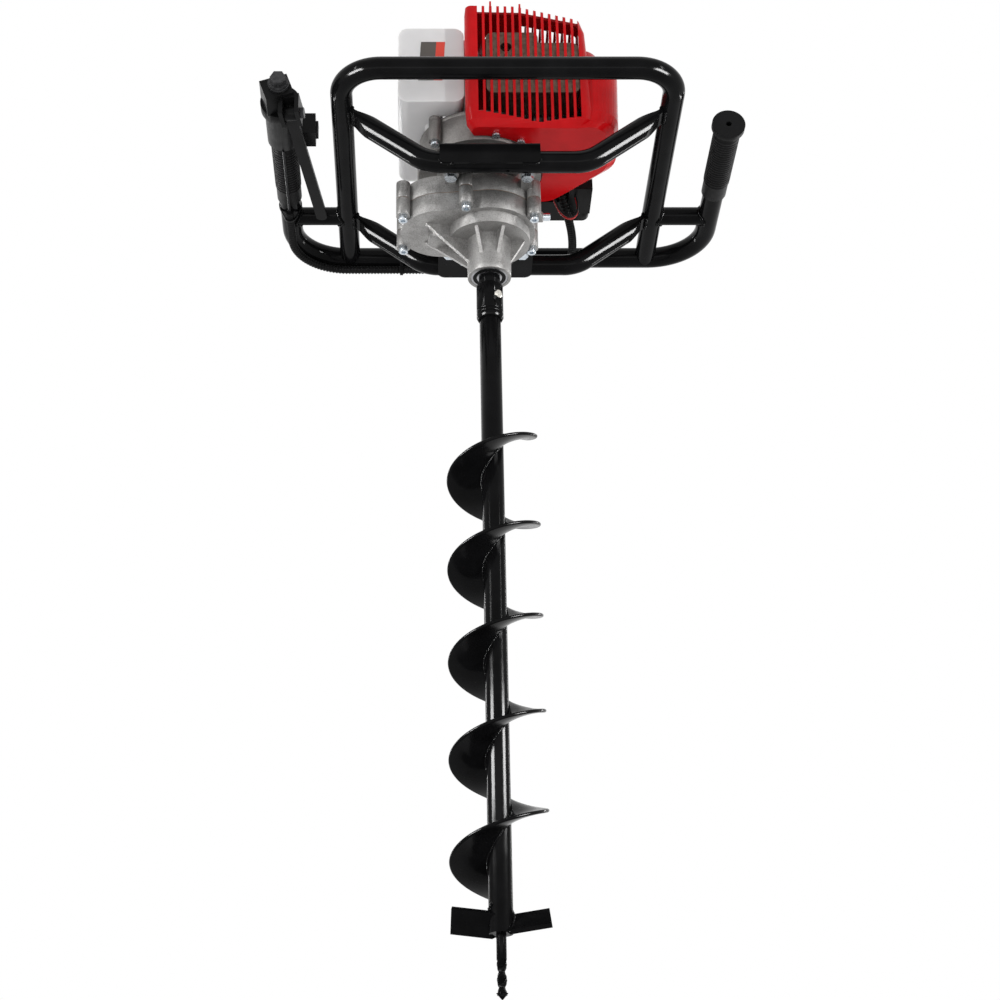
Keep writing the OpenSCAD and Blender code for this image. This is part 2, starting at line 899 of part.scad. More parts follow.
// grille box and the round bulge beside it, at a wall offset
module shroud_form(w) {
    shroud_hull([[-11, -80, 9, 0], [98, -74, 12, 0], [96, -20, 20, 0], [60, 20, 20, 0],
        [-14, -83.5, 12, 8], [104, -82, 13, 8], [-17.5, -87, 10, 24], [106, -86, 11, 24],
        [-17.5, -87, 10, 158], [100, -86, 11, 132], [-19.5, -89, 7, 167.4], [30, -88, 8, 166],
        [97, -85, 9, 149], [84, -20, 18, 147], [56, 0, 20, 154]], w, w > 0 ? rib_deep - shroud_t : 0);
    shroud_hull([[112, -68, 20, 0], [108, -20, 30, 0], [66, 32, 24, 0], [50, -60, 20, 0],
        [117, -66, 25, 7], [113, -20, 35, 7], [69, 35, 28, 7], [119, -64, 28, 20],
        [115, -20, 37, 20], [70, 36, 31, 20], [121, -62, 28, 82], [117, -18, 36, 82],
        [70, 25, 32, 82], [104, -60, 24, 112], [100, -18, 28, 118], [67, 19, 30, 130],
        [50, -50, 20, 120]], w, 0);
}

// first slot of the grille, the place of a rib after it and the foot of a slot
slot_x = -12.7;
function rib_x(i) = slot_x + slot_w + i * slot_pitch + (slot_pitch - slot_w) / 2;
function slot_foot(i) = i < 8 ? 17.5 - 1.75 * i : i - 3.5;

// slotted shroud over muffler and cylinder
module shroud() {
    color("#c01818") {
        difference() {
            shroud_form(0);
            shroud_form(shroud_t);
            translate([eng_x, 0, shroud_z - 20])
                cylinder(r = fan_r + 2.2, h = case_z + 22 - shroud_z);
            translate([-200, -47, shroud_z - 20])
                cube([200 + cyl_x0 + 10.5, 200, 300]);
            translate([-200, 3, shroud_z - 20])
                cube([200 + cyl_x0 + 24, 107, 300]);
            translate([eng_x, 0, case_top - 3])
                cylinder(r = starter_r + 2.5, h = 100);
            translate([port_x - 23, 16, cyl_z - 28])
                cube([50, 80, 58]);
            for (a = shroud_a)
                translate([eng_x, 0, shroud_z - 1])
                    rotate([0, 0, a])
                        translate([shroud_sr, 0, 0])
                            cylinder(r = 2.8, h = 8);
            for (i = [0:13])
                translate([slot_x + i * slot_pitch, -130, shroud_z])
                    translate([0, 0, slot_foot(i)])
                        cube([slot_w, 45, 200]);
            for (i = [6:13])
                translate([slot_x + i * slot_pitch, -67, shroud_z + 122])
                    cube([slot_w, 37, 60]);
        }
        for (i = [1, 5])
            translate([rib_x(i) - 1.1, -94, shroud_z + 140 - i])
                cube([2.2, 14, 37]);
    }
}

// screws of the shroud flange and of the fan case rim
module shroud_screws() {
    color("#c2c4c6") {
        for (a = shroud_a)
            translate([eng_x, 0, shroud_z - 4])
                rotate([0, 0, a])
                    translate([shroud_sr, 0, 0]) {
                        cylinder(r = 4.5, h = 4);
                        translate([0, 0, 3])
                            cylinder(r = 2.5, h = 14);
                    }
        for (a = rim_a)
            translate([eng_x, 0, clutch_top + 3])
                rotate([0, 0, a])
                    translate([rim_r, 0, 0]) {
                        cylinder(r = 4.5, h = 5);
                        translate([0, 0, 4])
                            cylinder(r = 2.5, h = 34);
                    }
    }
}

// recoil starter cover
rope_x = eng_x + 34;
rope_z = case_top + 20;
module starter_cover() {
    color("#c01818")
        difference() {
            union() {
                translate([eng_x, 0, case_top]) {
                    cylinder(r = starter_r, h = starter_h - 6);
                    translate([0, 0, starter_h - 6])
                        cylinder(r1 = starter_r, r2 = starter_r - 7, h = 6);
                }
                translate([rope_x, 0, rope_z])
                    rotate([-90, 0, 0])
                        cylinder(r = 7, h = 44);
            }
            translate([eng_x, 0, case_top + 3])
                cylinder(r = starter_r - 3, h = starter_h - 9);
            translate([eng_x, 0, case_top - 1])
                cylinder(r = 20, h = 10);
            translate([rope_x, 0, rope_z])
                rotate([-90, 0, 0])
                    cylinder(r = 3.5, h = 60);
            for (a = [0:30:330])
                translate([eng_x, 0, case_top + 20])
                    rotate([0, 0, a])
                        translate([22, -2.5, 0])
                            cube([16, 5, 40]);
        }
}

// pull handle with its rope
module starter_handle() {
    color("#1c1c1e")
        translate([rope_x, 0, rope_z]) {
            translate([-32, 58, 0])
                rotate([0, 90, 0])
                    cylinder(r = 8, h = 64);
            rotate([-90, 0, 0]) {
                translate([0, 0, 44.3])
                    cylinder(r = 6.5, h = 10);
                translate([0, 0, -28])
                    cylinder(r = 2, h = 80);
            }
        }
}

// carburettor with flange and bore
module carburettor() {
    color("#9fa1a3")
        difference() {
            union() {
                translate([port_x - 16, 48, cyl_z - 17])
                    cube([32, 6, 34]);
                translate([port_x - 13, 53, cyl_z - 18])
                    cube([26, carb_y - 53, 36]);
            }
            translate([port_x, 40, cyl_z])
                rotate([-90, 0, 0])
                    cylinder(r = 8, h = 80);
            translate([port_x - 6, 66, cyl_z + 10])
                cylinder(r = 3 + run_fit, h = 20);
            translate([port_x, 72, cyl_z - 19])
                cylinder(r = 9 + run_fit, h = 7);
        }
}

// arm on the carburettor throttle spindle
module carb_throttle_arm() {
    color("#c2c4c6")
        translate([port_x - 6, 66, cyl_z]) {
            translate([0, 0, 10.5])
                cylinder(r = 3, h = 13);
            translate([0, -4, 19])
                cube([18, 8, 3]);
            translate([18, 0, 19])
                cylinder(r = 4, h = 3);
            translate([0, 0, 19])
                cylinder(r = 6, h = 3);
        }
}

// primer bulb under the carburettor
module primer_bulb() {
    color("#d8cfc0")
        translate([port_x, 72, cyl_z - 18]) {
            translate([0, 0, -5])
                cylinder(r = 9, h = 7);
            intersection() {
                translate([0, 0, -5])
                    sphere(r = 9);
                translate([-10, -10, -14])
                    cube([20, 20, 9]);
            }
        }
}

// air filter base box with its lower bracket
module air_filter_box() {
    color("#1c1c1e")
        difference() {
            union() {
                translate([box_x0, carb_y, box_z0])
                    cube([box_x1 - box_x0, 24, box_z1 - box_z0]);
                translate([box_x1 - 28, carb_y - 27, box_z0])
                    cube([28, 28, 20]);
            }
            translate([box_x0 + 3, carb_y + 3, box_z0 + 3])
                cube([box_x1 - box_x0 - 6, 40, box_z1 - box_z0 - 6]);
            translate([port_x, carb_y - 5, cyl_z])
                rotate([-90, 0, 0])
                    cylinder(r = 8, h = 20);
            translate([box_x0 - 5, carb_y + 13, cyl_z + 20])
                rotate([0, 90, 0])
                    cylinder(r = 3 + run_fit, h = 20);
        }
}

// air filter cover
module air_filter_cover() {
    color("#1c1c1e")
        translate([0, carb_y + 24, 0])
            rotate([-90, 0, 0])
                difference() {
                    round_plate(box_x0, box_x1, -box_z1, -box_z0, 9, 15);
                    translate([0, 0, -1])
                        round_plate(box_x0 + 3, box_x1 - 3, -box_z1 + 3, -box_z0 - 3, 7, 13);
                }
}

// choke lever on the side of the air filter box
module choke_lever() {
    color("#1c1c1e")
        translate([box_x0, carb_y + 13, cyl_z + 20]) {
            translate([-6.5, 0, 0])
                rotate([0, 90, 0])
                    cylinder(r = 3, h = 12);
            translate([-6.5, 0, 0])
                rotate([0, 90, 0])
                    cylinder(r = 6, h = 4);
            translate([-6.5, -3.5, 0])
                cube([4, 7, 26]);
        }
}

// block with its long edges along Y rounded
module soft_block(x0, x1, y0, y1, z0, z1, r) {
    translate([0, y1, 0])
        rotate([90, 0, 0])
            round_plate(x0, x1, z0, z1, r, y1 - y0);
}

// stepped fuel tank with feet and filler neck
module fuel_tank() {
    w = tank_wall;
    z = tank_z;
    color("#e6e6df")
        difference() {
            union() {
                soft_block(tank_x, eng_x - 19, -78, -50, z, z + 105, 12);
                soft_block(tank_x, eng_x - 43, -52, 77, z, z + 72, 12);
                translate([neck[0], neck[1], neck[2] - 4])
                    cylinder(r = 16, h = 14);
                for (y = [-30, 30])
                    translate([eng_x - 57, y, case_z])
                        cylinder(r = 7, h = 12);
            }
            soft_block(tank_x + w, eng_x - 19 - w, -78 + w, -50 - w, z + w, z + 105 - w, 9);
            soft_block(tank_x + w, eng_x - 43 - w, -70, 77 - w, z + w, z + 72 - w, 9);
            translate([neck[0], neck[1], neck[2] - 9])
                cylinder(r = 12, h = 30);
        }
}

// fuel cap
module fuel_cap() {
    color("#1c1c1e")
        translate([neck[0], neck[1], neck[2] + 1])
            difference() {
                union() {
                    cylinder(d = cap_d, h = 14);
                    translate([0, 0, 13])
                        cylinder(d = cap_d - 8, h = 4);
                }
                translate([0, 0, -1])
                    cylinder(r = 16 + run_fit, h = 10.6);
                for (a = [0:15:345])
                    rotate([0, 0, a])
                        translate([cap_d / 2 + 0.6, 0, -1])
                            cylinder(r = 1.4, h = 20);
            }
}

// bent tube in the frame plane, a bar with two sides running from it
module u_tube(hx, yb, s, br, yl, yr, rad) {
    translate([frame_x, 0, frame_z]) {
        translate([br - hx, yb, 0])
            rotate([0, 90, 0])
                cylinder(r = rad, h = 2 * (hx - br));
        for (k = [-1, 1]) {
            translate([k * (hx - br), yb + s * br, 0])
                rotate([0, 0, s > 0 ? (k > 0 ? -90 : 180) : (k > 0 ? 0 : 90)])
                    rotate_extrude(angle = 90)
                        translate([br, 0])
                            circle(r = rad);
            translate([k * hx, yb + s * br, 0])
                rotate([-90 * s, 0, 0])
                    cylinder(r = rad, h = abs((k < 0 ? yl : yr) - yb - s * br));
        }
    }
}

left_end = -90;

// front loop with sides running to the rear bar
module front_loop() {
    color("#141416")
        difference() {
            u_tube(loop_x, -front_y, 1, loop_r, rear_y, rear_y, tr);
            u_tube(loop_x, -front_y, 1, loop_r, rear_y + 1, rear_y + 1, tr - tube_wall);
            u_tube(handle_x, rear_y, -1, handle_r, left_end, grip_y, tr + weld_gap);
        }
}

// handlebar
module handlebar() {
    color("#141416")
        difference() {
            u_tube(handle_x, rear_y, -1, handle_r, left_end, grip_y, tr);
            u_tube(handle_x, rear_y, -1, handle_r, left_end - 1, grip_y - 1, tr - tube_wall);
        }
}

// short struts between loop and handlebar
module handle_struts() {
    color("#141416")
        for (k = [-1, 1])
            difference() {
                translate([frame_x + k * (loop_x + handle_x) / 2, cradle_rear, frame_z])
                    rotate([0, 90, 0])
                        cylinder(r = tr - 1.5, h = handle_x - loop_x, center = true);
                translate([frame_x + k * loop_x, cradle_rear, frame_z])
                    rotate([90, 0, 0])
                        cylinder(r = tr + weld_gap, h = 90, center = true);
                translate([frame_x + k * handle_x, cradle_rear, frame_z])
                    rotate([90, 0, 0])
                        cylinder(r = tr + weld_gap, h = 90, center = true);
            }
}

// dipped cradle tube with flattened ends
cradle_br = 46;
bend_step = 0.15;
cradle_a = atan2(frame_z - cradle_z, loop_x - cradle_half);
module cradle_path(rad, cut) {
    t = cradle_br * tan(cradle_a / 2);
    len = norm([frame_z - cradle_z, loop_x - cradle_half]);
    translate([t - cradle_half - 2, 0, 0])
        rotate([0, 90, 0])
            cylinder(r = rad - bend_step, h = 2 * (cradle_half - t + 2));
    for (k = [-1, 1])
        rotate([0, 0, k > 0 ? 0 : 180]) {
            translate([cradle_half - t, 0, cradle_br])
                rotate([90, 0, 0])
                    rotate([0, 0, -90])
                        rotate_extrude(angle = cradle_a)
                            translate([cradle_br, 0])
                                circle(r = rad);
            translate([cradle_half, 0, 0])
                rotate([0, 90 - cradle_a, 0])
                    translate([0, 0, t - 2])
                        cylinder(r = rad - bend_step, h = len - t - cut + 2);
        }
}

module cradle(y) {
    len = norm([frame_z - cradle_z, loop_x - cradle_half]);
    difference() {
        translate([frame_x, y, cradle_z]) {
            difference() {
                cradle_path(tr, 18);
                translate([0, 0, -tr - 1])
                    cylinder(r = 2, h = tr);
                translate([14 - cradle_half, 0, 0])
                    rotate([0, 90, 0])
                        cylinder(r = tr - tube_wall, h = 2 * cradle_half - 28);
                for (k = [0, 180], s = [-1, 1])
                    rotate([0, 0, k])
                        translate([cradle_half, 0, 0])
                            rotate([0, 90 - cradle_a, 0])
                                rotate([90, 0, 0])
                                    linear_extrude(height = 3 * tr, center = true)
                                        polygon([[3 * s, len - 20], [(tr + 1) * s, len - 50],
                                                 [(tr + 2) * s, len - 50],
                                            [(tr + 2) * s, len], [3 * s, len]]);
            }
            for (k = [0, 180])
                rotate([0, 0, k])
                    translate([cradle_half, 0, 0])
                        rotate([0, 90 - cradle_a, 0])
                            translate([-2.8, 0.6 - tr, len - 27])
                                cube([5.6, 2 * tr - 1.2, 28]);
        }
        for (k = [-1, 1])
            translate([frame_x + k * loop_x, y, frame_z])
                rotate([90, 0, 0])
                    cylinder(r = tr + weld_gap, h = 90, center = true);
    }
}

module front_cradle() {
    color("#141416")
        cradle(-cradle_front);
}

module rear_cradle() {
    color("#141416")
        cradle(cradle_rear);
}

// plate over the front cradle
module front_plate() {
    color("#141416")
        translate([0, 0, top_z])
            difference() {
                round_plate(lug_cx - 56, lug_cx + 56, -cradle_front - 10, -lug_y + 11, 9, plate_t);
                for (s = [-1, 1])
                    translate([lug_cx + s * lug_x, -lug_y, -1])
                        cylinder(r = 4.3, h = plate_t + 2);
            }
}

// plate under the rear cradle
module rear_plate() {
    color("#141416")
        translate([0, 0, rear_pz - plate_t])
            difference() {
                union() {
                    round_plate(lug_cx - 56, lug_cx + 56, lug_y - 1, cradle_rear + 2, 9, plate_t);
                    for (s = [-1, 1])
                        translate([lug_cx + s * lug_x, lug_y, 0])
                            cylinder(r = 9, h = plate_t);
                }
                for (s = [-1, 1])
                    translate([lug_cx + s * lug_x, lug_y, -1])
                        cylinder(r = 4.3, h = plate_t + 2);
            }
}

// ringed rubber sleeve along Z
module grip_form(len, rings) {
    r = grip_d / 2;
    p = (len - 40) / rings;
    rotate_extrude()
        polygon(concat([[tr + 0.1, 0], [r - 0.8, 0], [r - 0.8, 10]],
            [for (i = [0:rings - 1]) each [[r, 12 + i * p], [r, 12 + (i + 0.62) * p],
                [r - 0.9, 12 + (i + 0.7) * p], [r - 0.9, 12 + (i + 0.92) * p]]],
            [[r, len - 26], [r - 0.8, len - 24], [r - 0.8, len], [tr + 0.1, len]]));
}

// right grip with end flange and hole
module right_grip() {
    color("#1b1b1d")
        translate([right_x, grip_y - 4, frame_z])
            rotate([-90, 0, 0]) {
                difference() {
                    cylinder(d = flange_d, h = 8);
                    translate([0, 0, 4])
                        cylinder(r = tr + 0.1, h = 20);
                    translate([0, 0, -1])
                        cylinder(d = vent_d, h = 20);
                }
                translate([0, 0, 7])
                    grip_form(grip_len - 7, 20);
            }
}

// left grip
module left_grip() {
    color("#1b1b1d")
        translate([left_x, -38, frame_z])
            rotate([-90, 0, 0])
                grip_form(114, 16);
}

// throttle housing on the end of the left arm
lever_x = left_x + 13;
lever_y = -118;
lever_z = frame_z - 26;
lever_a = -7.5;
module at_lever() {
    translate([lever_x, lever_y, lever_z])
        rotate([0, 0, lever_a])
            children();
}

module throttle_clamp() {
    color("#1c1c1e")
        difference() {
            union() {
                translate([left_x, -96, frame_z])
                    rotate([-90, 0, 0])
                        cylinder(r = tr + 6, h = 57.5);
                translate([left_x, -107, frame_z])
                    rotate([-90, 0, 0])
                        cylinder(r = tr + 10, h = 13);
                translate([left_x, -136, frame_z])
                    rotate([0, -19, 0])
                        translate([-19, 0, -15])
                            cube([32, 30, 27]);
                translate([left_x, -95, frame_z - 9])
                    cube([tr + 6, 52, 18]);
                at_lever()
                    translate([-lever_w / 2 - 5, -14, -9])
                        cube([lever_w + 10, 26, 26]);
            }
            translate([left_x, left_end - 0.2, frame_z])
                rotate([-90, 0, 0])
                    cylinder(r = tr + 0.1, h = 90);
            at_lever() {
                translate([-lever_w / 2 - 0.3, -22, -20])
                    cube([lever_w + 0.6, 60, 32]);
                translate([-40, 0, 0])
                    rotate([0, 90, 0])
                        cylinder(r = 4.1, h = 80);
            }
            translate([left_x, -140, frame_z])
                rotate([-90, 0, 0])
                    cylinder(r = 4.1, h = 30);
        }
}

// hinged throttle lever
module throttle_lever() {
    color("#1c1c1e")
        at_lever()
            difference() {
                union() {
                    translate([-lever_w / 2, 0, 0])
                        rotate([0, 90, 0])
                            cylinder(r = 8, h = lever_w);
                    translate([-lever_w / 2, 0, -lever_t / 2])
                        cube([lever_w, lever_len - lever_w / 2, lever_t]);
                    translate([0, lever_len - lever_w / 2, -lever_t / 2])
                        cylinder(d = lever_w, h = lever_t);
                }
                translate([-lever_w, 0, 0])
                    rotate([0, 90, 0])
                        cylinder(r = 4 + run_fit, h = 2 * lever_w);
            }
}

// lever pivot and flanged end bolt
module throttle_bolts() {
    color("#2a2a2c") {
        at_lever() {
            translate([-lever_w / 2 - 5, 0, 0])
                rotate([0, 90, 0])
                    cylinder(r = 4, h = lever_w + 11);
            translate([lever_w / 2 + 5, 0, 0])
                rotate([0, 90, 0])
                    cylinder(r = 6.5, h = 4, $fn = 6);
        }
        translate([left_x, -140, frame_z])
            rotate([-90, 0, 0]) {
                cylinder(r = 12, h = 4);
                translate([0, 0, -3])
                    cylinder(r = 10.5, h = 3.5);
                translate([0, 0, -10])
                    cylinder(r = 9, h = 7.5, $fn = 6);
                cylinder(r = 4, h = 28.5);
            }
    }
}

// stop switch body and its push button
sw_x = left_x + tr + 6.3;
module stop_switch() {
    color("#1c1c1e")
        difference() {
            translate([sw_x, -62, frame_z - 10])
                cube([18.5, 26, 28]);
            translate([sw_x + 10.5, -56, frame_z - 4])
                cube([20, 14, 16]);
        }
}

module stop_button() {
    color("#2a2a2c")
        translate([sw_x + 14, -55.8, frame_z - 3.8])
            cube([7.5, 13.6, 15.6]);
}

// swept round pieces
function unit(v) = v / norm(v);
function tang(p, i) = unit(p[min(i + 1, len(p) - 1)] - p[max(i - 1, 0)]);
function side(p, i) = unit(cross(tang(p, i), [0.58, -0.3, 0.75]));
function loop_at(p, i, r, k) = let (n = side(p, i), b = cross(tang(p, i), n))
    [for (j = [0:k - 1]) p[i] + r * (cos(360 * j / k) * n + sin(360 * j / k) * b)];
function curve(a, b, c, d, n) = [for (i = [0:n]) let (t = i / n, u = 1 - t)
    u * u * u * a + 3 * u * u * t * b + 3 * u * t * t * c + t * t * t * d];

// tube along points, radius alternating between two values, with a plain bore
module hose(p, ra, rb, bore, k, step) {
    n = len(p) - 1;
    m = floor(n / step);
    q = concat([for (i = [0:m - 1]) i * step], [n]);
    w = len(q) - 1;
    o = (n + 1) * k;
    outer = [for (i = [0:n]) each loop_at(p, i, i % 2 == 0 ? ra : rb, k)];
    inner = [for (i = q) each loop_at(p, i, bore, k)];
    f_out = [for (i = [0:n - 1], j = [0:k - 1]) let (a = i * k + j, b = i * k + (j + 1) % k)
        each [[a, a + k, b], [b, a + k, b + k]]];
    f_in = [for (i = [0:w - 1], j = [0:k - 1]) let (a = o + i * k + j, b = o + i * k + (j + 1) % k)
        each [[b, a + k, a], [b + k, a + k, b]]];
    f_end = [for (j = [0:k - 1]) let (g = (j + 1) % k)
        each [[j, g, o + j], [g, o + g, o + j],
            [n * k + g, n * k + j, o + w * k + j], [o + w * k + g, n * k + g, o + w * k + j]]];
    polyhedron(points = concat(outer, inner), faces = concat(f_out, f_in, f_end), convexity = 20);
}

// solid round rod along points
module rod(p, r, k) {
    n = len(p) - 1;
    pts = [for (i = [0:n]) each loop_at(p, i, r, k)];
    f = [for (i = [0:n - 1], j = [0:k - 1]) let (a = i * k + j, b = i * k + (j + 1) % k)
        each [[a, a + k, b], [b, a + k, b + k]]];
    polyhedron(points = pts, faces = concat(f, [[for (j = [0:k - 1]) j]],
        [[for (j = [k - 1:-1:0]) n * k + j]]), convexity = 20);
}

// route of the conduit under the handlebar
con_z = frame_z - tr - conduit_d / 2 - 0.4;
con_y = 82;
con_s = conduit_rib / 2;
con_turn = 35;
con_x = 75;
con_end = [port_x + 20, 72, cyl_z - 24];
function steps(l) = max(4, round(l / con_s));
con_a = rear_y - handle_r - con_y;
con_b = PI / 2 * handle_r;
con_c = con_x - left_x - handle_r;
con_d = PI / 2 * con_turn;
con_p = concat(
    [for (i = [0:steps(con_a) - 1]) [left_x, con_y + con_a * i / steps(con_a), con_z]],
    [for (i = [0:steps(con_b) - 1]) let (a = 180 - 90 * i / steps(con_b))
        [left_x + handle_r + handle_r * cos(a), rear_y - handle_r + handle_r * sin(a), con_z]],
    [for (i = [0:steps(con_c) - 1]) [left_x + handle_r + con_c * i / steps(con_c), rear_y, con_z]],
    [for (i = [0:steps(con_d) - 1]) let (a = 90 - 90 * i / steps(con_d))
        [con_x + con_turn * cos(a), rear_y - con_turn + con_turn * sin(a), con_z]],
    curve([con_x + con_turn, rear_y - con_turn, con_z], [con_x + con_turn, rear_y - con_turn - 70, con_z],
        [con_end[0], con_end[1], con_end[2] - 60], con_end, steps(124)));

// corrugated conduit
module conduit() {
    color("#1c1c1e")
        hose(con_p, conduit_d / 2, conduit_d / 2 - 1.1, conduit_d / 2 - 1.9, 8, 4);
}

// throttle cable from the housing into the conduit
module throttle_cable() {
    color("#3a3a3d")
        translate([left_x, -38.4, con_z])
            rotate([-90, 0, 0])
                cylinder(r = 1.6, h = con_y + 50);
}

// ties that hold the conduit to the handlebar
module tie(r) {
    hull() {
        circle(r = tr + r, $fn = 48);
        translate([0, con_z - frame_z])
            circle(r = conduit_d / 2 + r, $fn = 24);
    }
}

module cable_ties() {
    color("#1c1c1e") {
        translate([left_x, con_y + 15, frame_z])
            rotate([90, 0, 0])
                linear_extrude(height = 4)
                    difference() {
                        tie(1.5);
                        tie(0.2);
                    }
        for (x = [-104, 20])
            translate([x, rear_y, frame_z])
                rotate([90, 0, 90])
                    linear_extrude(height = 4)
                        difference() {
                            tie(1.5);
                            tie(0.2);
                        }
    }
}

// stop wires hanging between the air filter bracket and the conduit end
module stop_wires() {
    x = box_x1 - 20;
    color("#7a1515")
        for (i = [0, 1])
            translate([0, -4.6 * i, 0])
                rod(curve([x, carb_y - 10, box_z0 - 0.6], [x + 14, carb_y - 12, box_z0 - 46],
                    [con_end[0] - 14, carb_y - 2, box_z0 - 44],
                    [con_end[0] - 9, con_end[1] + 1, con_end[2] - 1], 20),
                    1.2, 8);
}

// fuel hose from the tank to the carburettor
module fuel_hose() {
    color("#c9a24a")
        hose(curve([eng_x - 42.8, 62, tank_z + 18], [eng_x - 10, 62, tank_z + 18],
            [port_x - 40, 78, cyl_z - 4], [port_x - 13.2, 78, cyl_z - 4], 24), 3, 3, 1.8, 12, 2);
}

auger_socket();
auger_tube();
auger_flight();
cutting_blades();
pilot_drill();
drive_pin();
output_shaft();
output_gear();
layshaft();
input_pinion();
clutch_drum();
gearbox_lower();
gearbox_gasket();
gearbox_upper();
gearbox_screws();
output_bearings();
small_bearings();
clutch_housing();
clutch_shoes();
frame_bolts();
fan_case();
flywheel();
crankcase();
crank_bearings();
crankshaft();
cylinder_head();
spark_plug();
plug_boot();
muffler();
shroud();
shroud_screws();
starter_cover();
starter_handle();
carburettor();
carb_throttle_arm();
primer_bulb();
air_filter_box();
air_filter_cover();
choke_lever();
fuel_tank();
fuel_cap();
fuel_hose();
front_loop();
handlebar();
handle_struts();
front_cradle();
rear_cradle();
front_plate();
rear_plate();
right_grip();
left_grip();
throttle_clamp();
throttle_lever();
throttle_bolts();
stop_switch();
stop_button();
throttle_cable();
conduit();
cable_ties();
stop_wires();
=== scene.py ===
"""Looks of an earth auger: finishes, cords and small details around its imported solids."""

import json
import math

import bmesh
import bpy
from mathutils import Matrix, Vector
from mathutils.bvhtree import BVHTree

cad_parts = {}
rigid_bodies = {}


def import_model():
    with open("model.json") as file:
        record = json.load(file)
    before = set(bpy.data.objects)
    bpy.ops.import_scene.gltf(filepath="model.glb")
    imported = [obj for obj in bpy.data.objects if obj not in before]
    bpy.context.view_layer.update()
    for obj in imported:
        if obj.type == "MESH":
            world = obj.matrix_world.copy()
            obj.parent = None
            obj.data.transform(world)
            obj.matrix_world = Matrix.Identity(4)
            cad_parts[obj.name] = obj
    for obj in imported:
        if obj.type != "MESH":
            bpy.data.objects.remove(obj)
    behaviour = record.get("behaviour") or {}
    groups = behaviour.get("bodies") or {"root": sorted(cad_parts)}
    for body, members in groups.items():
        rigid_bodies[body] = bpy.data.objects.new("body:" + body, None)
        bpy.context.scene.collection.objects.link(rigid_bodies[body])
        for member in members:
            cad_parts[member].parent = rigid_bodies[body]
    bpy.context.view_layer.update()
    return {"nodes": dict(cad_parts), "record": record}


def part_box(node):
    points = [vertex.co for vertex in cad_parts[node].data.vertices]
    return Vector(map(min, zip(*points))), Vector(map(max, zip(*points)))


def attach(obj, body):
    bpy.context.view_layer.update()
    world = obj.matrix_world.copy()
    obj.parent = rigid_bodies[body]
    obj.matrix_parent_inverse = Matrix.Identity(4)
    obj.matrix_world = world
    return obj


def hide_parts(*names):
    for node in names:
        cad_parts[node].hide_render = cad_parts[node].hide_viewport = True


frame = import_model()
NODES = frame["nodes"]
MM = 0.001


# Camera and light

CAMERA_PLACE = (-0.0775, -1.9151, -0.4234)
CAMERA_TILT = math.radians(116.5)
CAMERA_LENS = 72
CAMERA_SENSOR = 36
CAMERA_SHIFT = 0.079
CAMERA_REACH = 50


def make_camera():
    data = bpy.data.cameras.new("camera")
    data.lens = CAMERA_LENS
    data.sensor_width = CAMERA_SENSOR
    data.shift_x = CAMERA_SHIFT
    data.clip_end = CAMERA_REACH
    camera = bpy.data.objects.new("camera", data)
    camera.location = CAMERA_PLACE
    camera.rotation_euler = (CAMERA_TILT, 0, 0)
    bpy.context.scene.collection.objects.link(camera)
    bpy.context.scene.camera = camera


def make_lamp(name, place, target, size, power):
    data = bpy.data.lights.new(name, "AREA")
    data.shape = "RECTANGLE"
    data.size, data.size_y = size
    data.energy = power
    lamp = bpy.data.objects.new(name, data)
    lamp.location = place
    aim = Vector(target) - Vector(place)
    lamp.rotation_euler = aim.to_track_quat("-Z", "Y").to_euler()
    bpy.context.scene.collection.objects.link(lamp)
    return lamp


def seen_directly(nodes):
    """1 on rays from the camera, a mirror or clear material, 0 on diffuse light."""
    path = nodes.new("ShaderNodeLightPath")
    first = nodes.new("ShaderNodeMath")
    first.operation = "MAXIMUM"
    both = nodes.new("ShaderNodeMath")
    both.operation = "MAXIMUM"
    links = first.id_data.links
    links.new(path.outputs["Is Camera Ray"], first.inputs[0])
    links.new(path.outputs["Is Glossy Ray"], first.inputs[1])
    links.new(first.outputs[0], both.inputs[0])
    links.new(path.outputs["Is Transmission Ray"], both.inputs[1])
    return both.outputs[0]


WORLD_LIGHT = 0.22


def make_world():
    world = bpy.data.worlds.new("studio")
    bpy.context.scene.world = world
    world.use_nodes = True
    nodes, links = world.node_tree.nodes, world.node_tree.links
    background = nodes["Background"]
    background.inputs["Color"].default_value = (1, 1, 1, 1)
    level = nodes.new("ShaderNodeMapRange")
    level.inputs["To Min"].default_value = WORLD_LIGHT
    level.inputs["To Max"].default_value = 1.0
    links.new(seen_directly(nodes), level.inputs["Value"])
    links.new(level.outputs["Result"], background.inputs["Strength"])


FLOOR_SIZE = 6.0
FLOOR_DROP = 0.002
FLOOR_COLOR = (0.86, 0.86, 0.86, 1)
FLOOR_ROUGHNESS = 0.9


def make_floor():
    """Pale floor that is clear from below, where the photograph's camera stands."""
    bpy.ops.mesh.primitive_plane_add(size=FLOOR_SIZE, location=(0, 0, -FLOOR_DROP))
    floor = bpy.context.object
    floor.name = "floor"
    paint = bpy.data.materials.new("floor_white")
    paint.use_nodes = True
    nodes, links = paint.node_tree.nodes, paint.node_tree.links
    surface = nodes["Principled BSDF"]
    surface.inputs["Base Color"].default_value = FLOOR_COLOR
    surface.inputs["Roughness"].default_value = FLOOR_ROUGHNESS
    clear = nodes.new("ShaderNodeBsdfTransparent")
    side = nodes.new("ShaderNodeNewGeometry")
    mix = nodes.new("ShaderNodeMixShader")
    links.new(side.outputs["Backfacing"], mix.inputs["Fac"])
    links.new(surface.outputs["BSDF"], mix.inputs[1])
    links.new(clear.outputs["BSDF"], mix.inputs[2])
    links.new(mix.outputs["Shader"], nodes["Material Output"].inputs["Surface"])
    floor.data.materials.append(paint)


LAMP_TARGET = (0, 0, 0.85)
